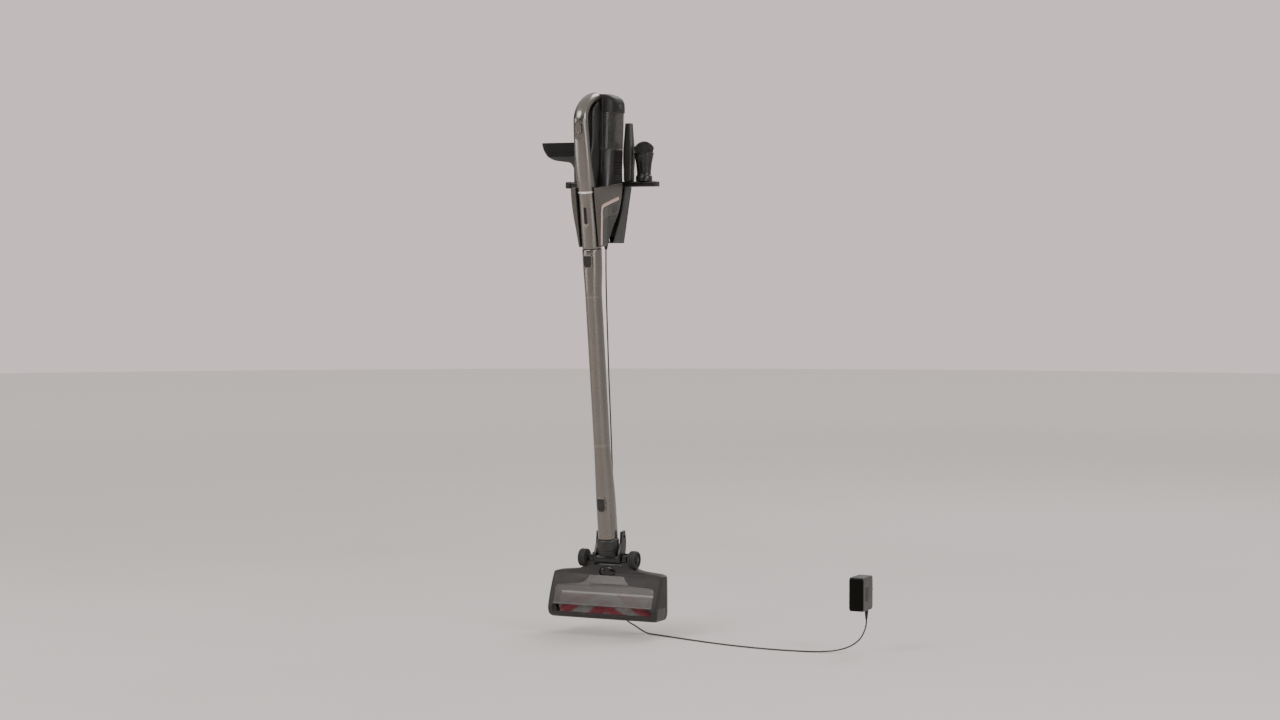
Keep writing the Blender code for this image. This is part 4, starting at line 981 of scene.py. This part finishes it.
def make_bin():
    """Clear bin over its ribbed cone and the wire screen round the cone."""
    wall = 0.0018
    low, high = BIN_Z
    rings = [shrunk(unit_ring(low), 0.001), shrunk(unit_ring(low + 0.0003), 0.0003)]
    rings += [unit_ring(low + 0.001 + (high - low - 0.001) * step / 14) for step in range(15)]
    rings += [unit_ring(high - (high - low - 0.0035) * step / 14, wall) for step in range(15)]
    rings.append(shrunk(rings[-1], 0.0012, Vector((0.0, 0.0, -0.001))))
    settle(loft("bin", rings), "smoke", "power_unit", "dust_bin")
    cone = [(0.0128, 0.1494), (0.0134, 0.15), (0.015, 0.156), (0.021, 0.185),
            (0.0235, 0.22), (0.0235, 0.2285), (0.023, 0.229)]
    made = spun("cyclone", cone, centre=UNIT_AXIS)
    for step in range(12):
        turn = Matrix.Rotation(2.0 * math.pi * step / 12, 4, "Z")
        weld(made, plain_box("rib", (0.015, -0.0006, 0.162), (0.0238, 0.0006, 0.228),
                             Matrix.Translation(UNIT_AXIS) @ turn))
    settle(cleaned(made), "dark", "power_unit", "cyclone_cone")
    grid = bmesh.new()
    wire_rows = [(0.0268, 0.1905 + 0.035 * step / 14) for step in range(15)]
    add_rings(grid, spun_rings(wire_rows, "Z", UNIT_AXIS, 84), capped=False)
    screen = solid("screen", grid)
    wires = screen.modifiers.new("wires", "WIREFRAME")
    wires.thickness = 0.0007
    wires.use_replace = True
    apply_changes(screen)
    settle(screen, "steel", "power_unit", "mesh_screen")


def make_lid():
    table = (
        (0.231, 0.0402, -0.1136, -0.0165, 0.033), (0.25, 0.0398, -0.113, -0.0172, 0.033),
        (0.261, 0.037, -0.1122, -0.0225, 0.032), (0.268, 0.031, -0.1105, -0.035, 0.029),
        (0.2715, 0.022, -0.106, -0.052, 0.021),
    )
    wall = 0.0024
    outside = [outline(half, front, rear, height, radius)
               for height, half, front, rear, radius in eased(table, 30)[::-1]]
    inside = [outline(half - wall, front + wall, rear - wall, height, radius)
              for height, half, front, rear, radius in ((0.231, 0.0402, -0.1136, -0.0165, 0.0306),
                                                        (0.258, 0.0385, -0.112, -0.02, 0.029))]
    made = loft("lid", outside[:-1] + [outside[-1], shrunk(outside[-1], 0.0006)] + inside)
    for height in (0.2345, 0.2372):
        ring = [outline(0.05, -0.13, -0.002, level, 0.04) for level in (height, height + 0.0007)]
        core = [outline(0.0396, -0.1131, -0.017, level, 0.0326)
                for level in (height - 0.001, height + 0.0017)]
        groove_round(made, ring, core)
    carve(made, slab("latch_well", (0.0386, -0.079, 0.238), (0.05, -0.059, 0.2484), 0.0002,
                     axis=0, corner=0.003),
          slab("thumb", (-0.011, -0.13, 0.246), (0.011, -0.1112, 0.256), 0.001,
               axis=1, corner=0.0045))
    for step in range(7):
        x = -0.015 + 0.005 * step
        weld(made, slab("crest", (x - 0.0007, -0.095, 0.268), (x + 0.0007, -0.06, 0.2712),
                        0.0003))
    weld(made, spun("knuckle", [(0.0018, -0.009), (0.0022, -0.0086), (0.0022, 0.0086),
                                (0.0018, 0.009)], axis="X", centre=LID_HINGE, segments=24),
         plain_box("root", (-0.0085, -0.018, 0.2314), (0.0085, -0.0145, 0.2328)))
    settle(cleaned(made), "lid", "lid", "bin_lid")
    latch = slab("latch", (0.0396, -0.0786, 0.2384), (0.0412, -0.0594, 0.248), 0.0004, axis=0,
                 corner=0.0026)
    settle(latch, "button", "lid_latch", "lid_latch")
    pleats = []
    for level in (0.2345, 0.255):
        ring = []
        for step in range(96):
            turn = 2.0 * math.pi * step / 96
            radius = 0.028 if step % 2 else 0.025
            ring.append(UNIT_AXIS + Vector((radius * math.cos(turn), radius * math.sin(turn), level)))
        pleats.append(ring)
    settle(loft("filter", pleats, smooth=20.0), "fleece", "lid", "fine_filter")


# ---------------------------------------------------------------- suction tube and neck

TUBE = (
    # height, half width, front, rear
    (-0.0006, 0.0213, -0.0203, 0.0195),
    (-0.045, 0.0205, -0.0218, 0.0182),
    (-0.08, 0.0187, -0.0232, 0.0158),
    (-0.104, 0.0176, -0.024, 0.0145),
    (-0.454, 0.0172, -0.0236, 0.0145),
    (-0.49, 0.0181, -0.023, 0.0158),
    (-0.53, 0.0196, -0.0225, 0.0186),
    (-0.583, 0.021, -0.0222, 0.0208),
    (-0.67, 0.0215, -0.0215, 0.0215),
)
UPPER_BUTTON = (0.0092, -0.0405, -0.0155)
LOWER_BUTTON = (0.0088, -0.603, -0.574)


def make_tube():
    rings = [crowned(half, front, rear, height) for height, half, front, rear in eased(TUBE, 90)]
    outside = softened(rings, 0.002, 0.0011)
    spigot = [circle(0.015, 0.029), circle(0.015, 0.0)]
    socket = [circle(0.0156, -0.67), circle(0.0156, -0.66)]
    inside = [circle(TUBE_BORE, -0.66), circle(TUBE_BORE, 0.029)]
    made = loft("tube", spigot + outside + socket + inside, LEANING, closed=True)
    for half, low, high in (UPPER_BUTTON, LOWER_BUTTON):
        carve(made, prism("well", half + 0.0005, low - 0.0005, high + 0.0005, -0.04, -0.018,
                          0.003, 0.0085))
    for level in (-0.1085, -0.45):
        ring = [outline(0.03, -0.04, 0.03, height, 0.02)
                for height in (level, level + 0.0006)]
        core = [crowned(0.01705, -0.02345, 0.01415, height)
                for height in (level - 0.001, level + 0.0016)]
        groove_round(made, ring, core, LEANING)
    settle(cleaned(made), "pearl", "suction_tube", "suction_tube")


def make_gasket():
    """Dark ring in the groove between the spine's foot and the tube's top."""
    inner = [crowned(0.02, -0.0184, 0.0182, level) for level in (-0.002, -0.0008)]
    settle(loft("gasket", softened(inner, 0.0003), LEANING), "black", "suction_tube",
           slot="black_rubber")


def button_frame(name, half, low, high):
    """Raised rim round a press button on the tube."""
    made = prism(name, half + 0.0026, low - 0.0026, high + 0.0026, -0.0243, -0.0175, 0.0045, 0.01)
    carve(made, prism("hole", half + 0.0004, low - 0.0004, high + 0.0004, -0.04, -0.01,
                      0.003, 0.0084))
    settle(cleaned(made, 0.0005), "pearl", "suction_tube", slot="pearl_metal")


def make_tube_fittings():
    table = ((-0.109, 0.0085, 0.0175), (-0.124, 0.009, 0.0235), (-0.44, 0.009, 0.0235),
             (-0.453, 0.0085, 0.018))
    rings = [outline(half, 0.0148, rear, height, 0.001, 0.0036)
             for height, half, rear in eased(table, 40)]
    settle(loft("channel", softened(rings, 0.0008), LEANING), "dark", "suction_tube",
           "cable_channel")
    table = ((-0.5, 0.009, 0.0172, 0.02), (-0.53, 0.011, 0.019, 0.0262),
             (-0.583, 0.0115, 0.0212, 0.0288), (-0.626, 0.011, 0.0218, 0.0265))
    rings = [outline(half, front, rear, height, 0.001, 0.0036)
             for height, half, front, rear in eased(table, 30)]
    settle(loft("plug_housing", softened(rings, 0.0008), LEANING), "dark", "suction_tube",
           "tube_plug_housing")
    for name, (half, low, high) in (("upper", UPPER_BUTTON), ("lower", LOWER_BUTTON)):
        button_frame(name + "_frame", half, low, high)
        made = prism(name + "_press", half, low, high, -0.0236, -0.0196, 0.0026, 0.008)
        for step in range(3):
            at = low + (high - low) * (0.42 + 0.16 * step)
            carve(made, slab("rib", (-0.0055, -0.03, at), (0.0055, -0.0231, at + 0.0012), 0.0001,
                             LEANING))
        settle(cleaned(made, 0.0006), "button", name + "_button", name + "_release_button")


def make_neck():
    """Collar under the tube, and the elbow with its barrel and its two struts."""
    profile = [(TUBE_BORE, -0.6618), (0.0146, -0.6618), (0.015, -0.6622), (0.015, -0.6706),
               (0.0232, -0.6706), (0.0246, -0.6714), (0.0256, -0.673), (0.026, -0.675),
               (0.026, -0.6925), (0.0257, -0.6945), (0.025, -0.6962), (TUBE_BORE, -0.6962)]
    settle(spun("collar", profile, LEANING, closed=True, segments=96), "dark", "neck", "neck_collar")
    foot = -0.6965
    profile = [(TUBE_BORE, foot), (0.0246, foot), (0.0254, foot - 0.0008), (0.0254, foot - 0.0036),
               (0.0244, foot - 0.0066), (TUBE_BORE, foot - 0.007)]
    made = spun("elbow", profile, LEANING, closed=True, segments=96)
    axle = (0.0, 0.0019, -0.7186)
    table = ((-0.7186, 0.0225, -0.0085, 0.0125), (-0.71, 0.0225, -0.0087, 0.0125),
             (-0.702, 0.0225, -0.0085, 0.013))
    web = [outline(half, front, rear, level, 0.006) for level, half, front, rear in eased(table, 8)]
    profile = [(0.0119, -0.03), (0.0125, -0.0294), (0.0125, 0.0294), (0.0119, 0.03)]
    weld(made, loft("web", web, LEANING), spun("barrel", profile, LEANING, "X", axle))
    table = ((-0.7265, -0.0085, 0.0125), (-0.712, -0.0115, 0.021), (-0.68, 0.004, 0.029),
             (-0.656, 0.01, 0.027))
    for side, _ in SIDES:
        rings = [outline(0.003, front, rear, level, 0.0014, middle=side * 0.0305)
                 for level, front, rear in eased(table, 20)]
        weld(made, loft("strut", softened(rings, 0.0012), LEANING))
        bore(made, 0.0035, *sorted((side * 0.0272, side * 0.05)), LEANING, (0.0, 0.019, -0.669))
    bore(made, AXLE_BORE, -0.05, 0.05, LEANING, axle)
    settle(cleaned(made), "black", "yoke", "neck_elbow")


# ---------------------------------------------------------------- floor head

HEAD = (
    # height, half width
    (-0.927, 0.134),
    (-0.92, 0.138),
    (-0.908, 0.14),
    (-0.84, 0.1395),
    (-0.827, 0.1385),
    (-0.8225, 0.13),
    (-0.8195, 0.1),
    (-0.8165, 0.078),
    (-0.812, 0.0668),
    (-0.806, 0.0625),
    (-0.7975, 0.061),
)
COVER_FRONT = ((-0.927, -0.076), (-0.92, -0.0835), (-0.908, -0.085), (-0.8945, -0.0822),
               (-0.852, -0.0665), (-0.826, -0.055), (-0.7975, -0.0505))
BASE_Y = -0.036
SOLE_Y = -0.023
PIVOT_CAP_Z = -0.8212


def head_levels(count):
    """Heights for the head's rings, closest together where its outline turns."""
    first = [-0.927 + 0.019 * step / 8 for step in range(8)]
    middle = [-0.908 + 0.08 * step / 14 for step in range(14)]
    last = [-0.828 + 0.0305 * step / count for step in range(count + 1)]
    return first + middle + last


def head_half(height):
    return reading(HEAD, 1, height)


def head_front(height):
    return reading(COVER_FRONT, 1, height)


def head_notch():
    """Room at the middle of the head's rear edge for the neck to swing in."""
    return plain_box("notch", (-0.0345, -0.12, -0.806), (0.0345, 0.05, -0.7))


def make_cover():
    rings = [outline(head_half(level), head_front(level), BASE_Y - GAP, level, 0.006, 0.001)
             for level in head_levels(26)]
    made = loft("cover", softened(rings, 0.0012))
    wall = 0.0025
    inner = []
    for level in (-0.9246, -0.92, -0.908, -0.8945, -0.87, -0.852, -0.829):
        inner.append(outline(head_half(level) - wall, head_front(level) + wall, 0.0, level,
                             0.004, 0.001))
    carve(made, loft("hollow", inner), head_notch(), window_shape("pane", 0.0004, -0.01, 0.01),
          slab("slot", (-0.1265, -0.12, -0.9135), (0.1265, -0.06, -0.8972), 0.0002, axis=1,
               corner=0.003))
    carve(made, oval("pivot_well", 0.0208, 0.0134, ((1.0, -0.07), (1.0, -0.0508))))
    settle(cleaned(made, 0.0007), "cover", "head", "head_cover")
    paint_some(made, "dark", lambda face: face.center.z < -0.8955)
    cap = oval("pivot_cap", 0.0201, 0.0127, ((1.0, -0.05), (1.0, -0.0512), (0.94, -0.0522),
                                            (0.78, -0.0532), (0.5, -0.0539), (0.2, -0.0541)))
    weld(cap, spun("knob", [(0.0052, -0.0545), (0.0058, -0.054), (0.006, -0.05)], axis="Y",
                   centre=(0.0, 0.0, PIVOT_CAP_Z + 0.0056), segments=36))
    settle(cleaned(cap), "black_gloss", "head", slot="black_plastic")


def oval(name, across, tall, profile):
    """Oval body on the front of the head's neck, from (share of size, depth) rows."""
    rings = []
    for share, depth in profile:
        ring = []
        for step in range(64):
            turn = 2.0 * math.pi * step / 64
            ring.append(Vector((across * share * math.cos(turn), depth,
                                PIVOT_CAP_Z + tall * share * math.sin(turn))))
        rings.append(ring)
    return loft(name, rings)


def front_band(name, low, high, half, proud, deep):
    """Band that follows the head's front between two heights."""
    steps = [low + (high - low) * step / 8 for step in range(9)]
    rings = []
    for x in (-half, -half + 0.0004, half - 0.0004, half):
        inset = 0.0004 if abs(x) == half else 0.0
        ring = [Vector((x, head_front(z) - proud + inset, z)) for z in steps]
        ring += [Vector((x, head_front(z) + deep, z)) for z in steps[::-1]]
        rings.append(ring)
    return loft(name, rings)


def make_front_trim():
    """Lighter inlay on the bumper under the slot, and the window's bright lower lip."""
    inlay = front_band("bumper_inlay", -0.9222, -0.915, 0.112, 0.0003, 0.001)
    settle(inlay, "cover", "head", slot="dark_plastic")
    lip = front_band("window_lip", -0.8958, -0.8942, 0.1252, 0.001, 0.0015)
    settle(lip, "lip", "head", slot="smoked_clear")


def window_shape(name, grow, outer, inner):
    """Slanted pane over the roller with a raised middle; outer and inner are measured in depth."""
    table = ((-0.894, 0.1258), (-0.858, 0.1258), (-0.853, 0.123), (-0.8515, 0.113),
             (-0.85, 0.08), (-0.846, 0.058), (-0.838, 0.05), (-0.829, 0.044))
    rings = []
    for index, (level, half) in enumerate(table):
        shift = -grow if index == 0 else grow
        face = head_front(level + shift)
        rings.append(outline(half + grow, face + outer, face + inner, level + shift, 0.0004))
    return loft(name, rings)


def make_window():
    made = window_shape("window", 0.0, -0.0004, 0.0018)
    round_edges(made, 0.0004, 2)
    settle(made, "window", "head", "head_window")


def make_base():
    """Sole of the head: the roller's opening, the lugs of the pivot and a row of channels."""
    rings = [outline(head_half(level), BASE_Y, SOLE_Y, level, 0.0006, 0.003)
             for level in head_levels(20)]
    made = loft("base", softened(rings, 0.0006))
    carve(made, plain_box("opening", (-0.1325, -0.08, -0.9236), (0.1325, 0.02, -0.872)),
          head_notch())
    for side, _ in SIDES:
        near, far = sorted((side * 0.035, side * 0.048))
        weld(made, slab("lug", (near, -0.0355, -0.82), (far, -0.024, -0.779), 0.0012),
             slab("nose", (near, -0.052, -0.797), (far, -0.03, -0.782), 0.0012))
    for step in range(9):
        x = -0.116 + 0.029 * step
        if abs(x) > 0.04:
            carve(made, slab("channel", (x - 0.003, SOLE_Y - 0.0012, -0.864),
                             (x + 0.003, 0.01, -0.832), 0.0003))
    bore(made, AXLE_BORE, -0.07, 0.07, UPRIGHT, PIVOT)
    settle(cleaned(made, 0.0005), "black", "head", "head_base")


def add_hair(maker, foot, tip, width, index=0):
    """One tapered three-sided bristle from foot to tip, with its own material index."""
    along = (tip - foot).normalized()
    side = along.orthogonal().normalized()
    other = along.cross(side)
    sides = 3
    rows = []
    for centre, radius in ((foot, width), (tip, 0.45 * width)):
        rows.append([maker.verts.new(centre + side * radius * math.cos(2.0 * math.pi * k / sides)
                                     + other * radius * math.sin(2.0 * math.pi * k / sides))
                     for k in range(sides)])
    faces = [maker.faces.new(rows[0][::-1]), maker.faces.new(rows[1])]
    for k in range(sides):
        after = (k + 1) % sides
        faces.append(maker.faces.new((rows[0][k], rows[0][after], rows[1][after], rows[1][k])))
    for face in faces:
        face.material_index = index


def make_roll():
    """Roller core with four spiral bands of bristles, two red and two pale."""
    core = [(0.005, -0.1305), (0.0115, -0.1305), (0.0115, -0.1245), (0.006, -0.124),
            (0.006, -0.1205), (0.015, -0.1205), (0.016, -0.1195), (0.016, 0.1195),
            (0.015, 0.1205), (0.006, 0.1205), (0.006, 0.129), (0.005, 0.129)]
    made = spun("roll_core", core, axis="X", centre=(0.0, *ROLL_AT), segments=48)
    settle(made, "black", "brush_roll", "brush_roll")
    half = 0.117
    bands, places, rows, hairs = 4, 108, 7, 3
    row_turn, whole_lead = 0.225, 4.4
    foot_radius = 0.0155

    def on_roll(x, radius, turn):
        return Vector((x, ROLL_AT[0] + radius * math.cos(turn), ROLL_AT[1] + radius * math.sin(turn)))

    chance = random.Random(7)
    maker = bmesh.new()
    for band in range(bands):
        for step in range(places):
            x = -half + 2.0 * half * step / (places - 1)
            lead = whole_lead * abs(x) / half
            for row in range(rows):
                turn = 2.0 * math.pi * band / bands + row_turn * (row - 3) + lead
                for _ in range(hairs):
                    sway = chance.uniform(-0.06, 0.06)
                    shift = chance.uniform(-0.0012, 0.0012)
                    reach = chance.uniform(0.023, 0.0242)
                    add_hair(maker, on_roll(x + 0.4 * shift, foot_radius, turn + 0.4 * sway),
                             on_roll(x + shift, reach, turn + sway), 0.0005, band % 2)
    bristles = solid("roll_bristles", maker, smooth=60.0)
    bristles.data.materials.append(FINISH["bristle_red"])
    bristles.data.materials.append(FINISH["bristle_white"])
    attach(bristles, "brush_roll")


def make_wheels():
    for name in ("left", "right"):
        low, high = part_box("rear_wheel_" + name)
        inner, outer = sorted((low[0], high[0]), key=abs)
        radius = 0.5 * (high[2] - low[2])
        width = outer - inner

        def at(share):
            return inner + width * share

        profile = [(AXLE_BORE, at(0.0)), (radius - 0.003, at(0.0)), (radius - 0.0008, at(0.06)),
                   (radius, at(0.16)), (radius, at(0.34)), (radius - 0.0006, at(0.36)),
                   (radius - 0.0006, at(0.42)), (radius, at(0.44)), (radius, at(0.6)),
                   (radius - 0.0006, at(0.62)), (radius - 0.0006, at(0.68)), (radius, at(0.7)),
                   (radius, at(0.86)), (radius - 0.001, at(0.96)), (radius - 0.004, at(1.0)),
                   (radius - 0.0055, at(0.96)), (radius - 0.0062, at(0.84)), (0.008, at(0.84)),
                   (0.0072, at(0.97)), (AXLE_BORE, at(0.97))]
        made = spun("wheel_" + name, profile, axis="X", centre=PIVOT, closed=True, segments=72)
        settle(made, "rubber", "wheel_" + name, "rear_wheel_" + name)


# ---------------------------------------------------------------- accessory rail and tools

NOZZLE_AT = (-0.084, -0.021)
CREVICE_AT = (0.039, -0.0185)
BRUSH_AT = (0.079, -0.0225)
RAIL_TOP = 0.0755
TOOL_FOOT = RAIL_TOP + GAP


def make_rail():
    """Rail with its stepped end and a peg for each tool."""
    made = slab("rail", (-0.112, -0.034, 0.0633), (0.112, -0.008, RAIL_TOP), 0.0018, axis=0,
                corner=0.003)
    weld(made, slab("rail_end", (-0.117, -0.035, 0.061), (-0.103, -0.007, 0.0765), 0.002,
                    axis=0, corner=0.0035))
    profile = [(0.0085, RAIL_TOP - 0.003), (0.0085, RAIL_TOP + 0.009),
               (0.0078, RAIL_TOP + 0.0114), (0.007, RAIL_TOP + 0.012)]
    for at in (NOZZLE_AT, CREVICE_AT, BRUSH_AT):
        weld(made, spun("peg", profile, centre=(*at, 0.0), segments=40))
    carve(made, slab("groove", (-0.101, -0.036, 0.0686), (0.11, -0.0334, 0.0702), 0.0003))
    settle(cleaned(made, 0.0005), "black", "dock", "accessory_rail")


def bored(at, radius):
    """Rings of a tool's hollow neck, from the top of its bore out to its foot."""
    return [circle(0.0092, TOOL_FOOT + 0.0132, at), circle(0.0092, TOOL_FOOT, at),
            circle(radius - 0.0006, TOOL_FOOT, at), circle(radius, TOOL_FOOT + 0.0006, at)]


def nozzle_rings(table, count):
    return [oblong((0.5 * (left + right), NOZZLE_AT[1]), 0.5 * (right - left), deep, height, 0.013)
            for height, left, right, deep in eased(table, count)]


def make_upholstery_nozzle():
    table = ((0.108, -0.099, -0.069, 0.015), (0.12, -0.108, -0.064, 0.0155),
             (0.1265, -0.148, -0.056, 0.0165), (0.135, -0.166, -0.05, 0.017))
    rings = bored(NOZZLE_AT, 0.015) + nozzle_rings(table, 26)
    settle(loft("nozzle", softened(rings, 0.0, 0.0006)), "dark", "nozzle", "upholstery_nozzle_body")
    table = ((0.1353, -0.1664, -0.0498, 0.0172), (0.152, -0.1765, -0.043, 0.018),
             (0.167, -0.1805, -0.04, 0.018))
    made = loft("nozzle_mouth", softened(nozzle_rings(table, 14), 0.0012))
    carve(made, slab("slit", (-0.17, -0.028, 0.157), (-0.05, -0.014, 0.2), 0.001, corner=0.005))
    for height in (0.1405, 0.144):
        for y in (NOZZLE_AT[1] - 0.0179, NOZZLE_AT[1] + 0.0179):
            carve(made, slab("line", (-0.15, y - 0.0008, height),
                             (-0.06, y + 0.0008, height + 0.001), 0.0002))
    settle(cleaned(made, 0.0006), "nozzle", "nozzle", "upholstery_nozzle_mouth")


def make_crevice_nozzle():
    x, y = CREVICE_AT
    table = ((0.08, 0.0112, 0.0112), (0.1, 0.0112, 0.0112), (0.118, 0.0122, 0.0122),
             (0.14, 0.0124, 0.0118), (0.175, 0.0108, 0.0098), (0.208, 0.009, 0.008))
    rings = bored(CREVICE_AT, 0.0112)
    rings += [oblong(CREVICE_AT, half, deep, height, 0.008)
              for height, half, deep in eased(table, 44)]
    rings.append(oblong(CREVICE_AT, 0.0084, 0.0074, 0.2086, 0.007))
    rings += [oblong(CREVICE_AT, 0.0072, 0.0062, height, 0.0055) for height in (0.2084, 0.195)]
    made = loft("crevice", rings)
    for step in range(4):
        low = 0.099 + 0.0042 * step
        for side, _ in SIDES:
            face = y + side * 0.0116
            carve(made, slab("grip", (x - 0.007, face - 0.0008, low),
                             (x + 0.007, face + 0.0008, low + 0.0018), 0.0003))
    settle(cleaned(made), "cap", "crevice_tool", "crevice_nozzle")


def fluted(ring, flutes, low, high, deepest):
    """Ring with flutes pressed in all round, which fade out below low and above high."""
    level = ring[0].z
    depth = deepest * max(0.0, min((level - low) / 0.006, (high - level) / 0.006, 1.0))
    centre = Vector((*BRUSH_AT, level))
    made = []
    for point in ring:
        out = point - centre
        turn = math.atan2(out.y, out.x)
        made.append(point - out.normalized() * depth * (0.5 - 0.5 * math.cos(flutes * turn)))
    return made


def make_dusting_brush():
    """Fluted brush body and its dome of hairs, spread evenly by the golden angle."""
    table = ((0.08, 0.0185, 0.0182), (0.087, 0.0185, 0.0172), (0.0905, 0.0162, 0.0152),
             (0.115, 0.0185, 0.0165), (0.133, 0.0217, 0.0182), (0.14, 0.0225, 0.0185))
    rings = bored(BRUSH_AT, 0.0185)
    rings += [oblong(BRUSH_AT, half, deep, height, 0.0165)
              for height, half, deep in eased(table, 40)]
    rings = [fluted(ring, 9, 0.092, 0.137, 0.0016) for ring in rings]
    settle(loft("brush_body", softened(rings, 0.0, 0.0006)), "tool", "brush_tool",
           "dusting_brush_body")
    x, y = BRUSH_AT
    foot = 0.1403
    half, deep = 0.0205, 0.0166
    hairs = 1500
    golden_angle = 2.39996
    chance = random.Random(11)
    maker = bmesh.new()
    seat = [oblong(BRUSH_AT, 0.0216, 0.0176, height, 0.016) for height in (foot, 0.1412)]
    add_rings(maker, softened(seat, 0.0003))
    for index in range(hairs):
        radius = math.sqrt((index + 0.5) / hairs)
        u = radius * math.cos(index * golden_angle)
        v = radius * math.sin(index * golden_angle)
        dome = 0.0268 * math.sqrt(max(1.0 - 0.8 * radius * radius, 0.0))
        flare = 1.0 + 0.16 * radius
        low = Vector((x + half * u, y + deep * v, foot + 0.0005))
        high = Vector((x + half * u * flare + chance.uniform(-0.0006, 0.0006),
                       y + deep * v * flare + chance.uniform(-0.0006, 0.0006),
                       foot + dome * chance.uniform(0.965, 1.0)))
        add_hair(maker, low, high, 0.0004)
    settle(solid("brush_hair", maker, smooth=60.0), "bristle_black", "brush_tool",
           "dusting_brush_bristles")


# ---------------------------------------------------------------- dock and inner pieces

KEPT = (
    # CAD nodes that show as they are: node, finish, edge radius, steps round the edge
    ("dock_shell", "dock", 0.001, 3), ("dock_cradle", "black", 0.0008, 3),
    ("dock_back_plate", "dock", 0.0004, 2), ("charge_contact_left", "gold", 0.0, 2),
    ("charge_contact_right", "gold", 0.0, 2), ("wall_screw_upper", "steel", 0.0003, 2),
    ("wall_screw_lower", "steel", 0.0003, 2), ("cord_gland", "rubber", 0.0003, 2),
    ("motor_can", "motor", 0.0004, 2), ("impeller", "steel", 0.0003, 2),
    ("lid_hinge_pin", "steel", 0.0, 2), ("brush_motor", "motor", 0.0003, 2),
    ("motor_pulley", "steel", 0.0, 2), ("drive_belt", "rubber", 0.0002, 2),
    ("rear_axle", "black", 0.0, 2),
)


make_camera()
make_cord(make_charger())
make_stage()
make_spine()
make_bar()
make_trim_ring()
make_handle_controls()
make_casing()
make_accents()
make_battery()
make_motor_housing()
make_bin()
make_outlet()
make_highlight_beads()
make_lid()
make_gasket()
make_tube()
make_tube_fittings()
make_neck()
make_cover()
make_front_trim()
make_window()
make_base()
make_roll()
make_wheels()
make_rail()
make_upholstery_nozzle()
make_crevice_nozzle()
make_dusting_brush()
for kept in KEPT:
    keep(*kept)
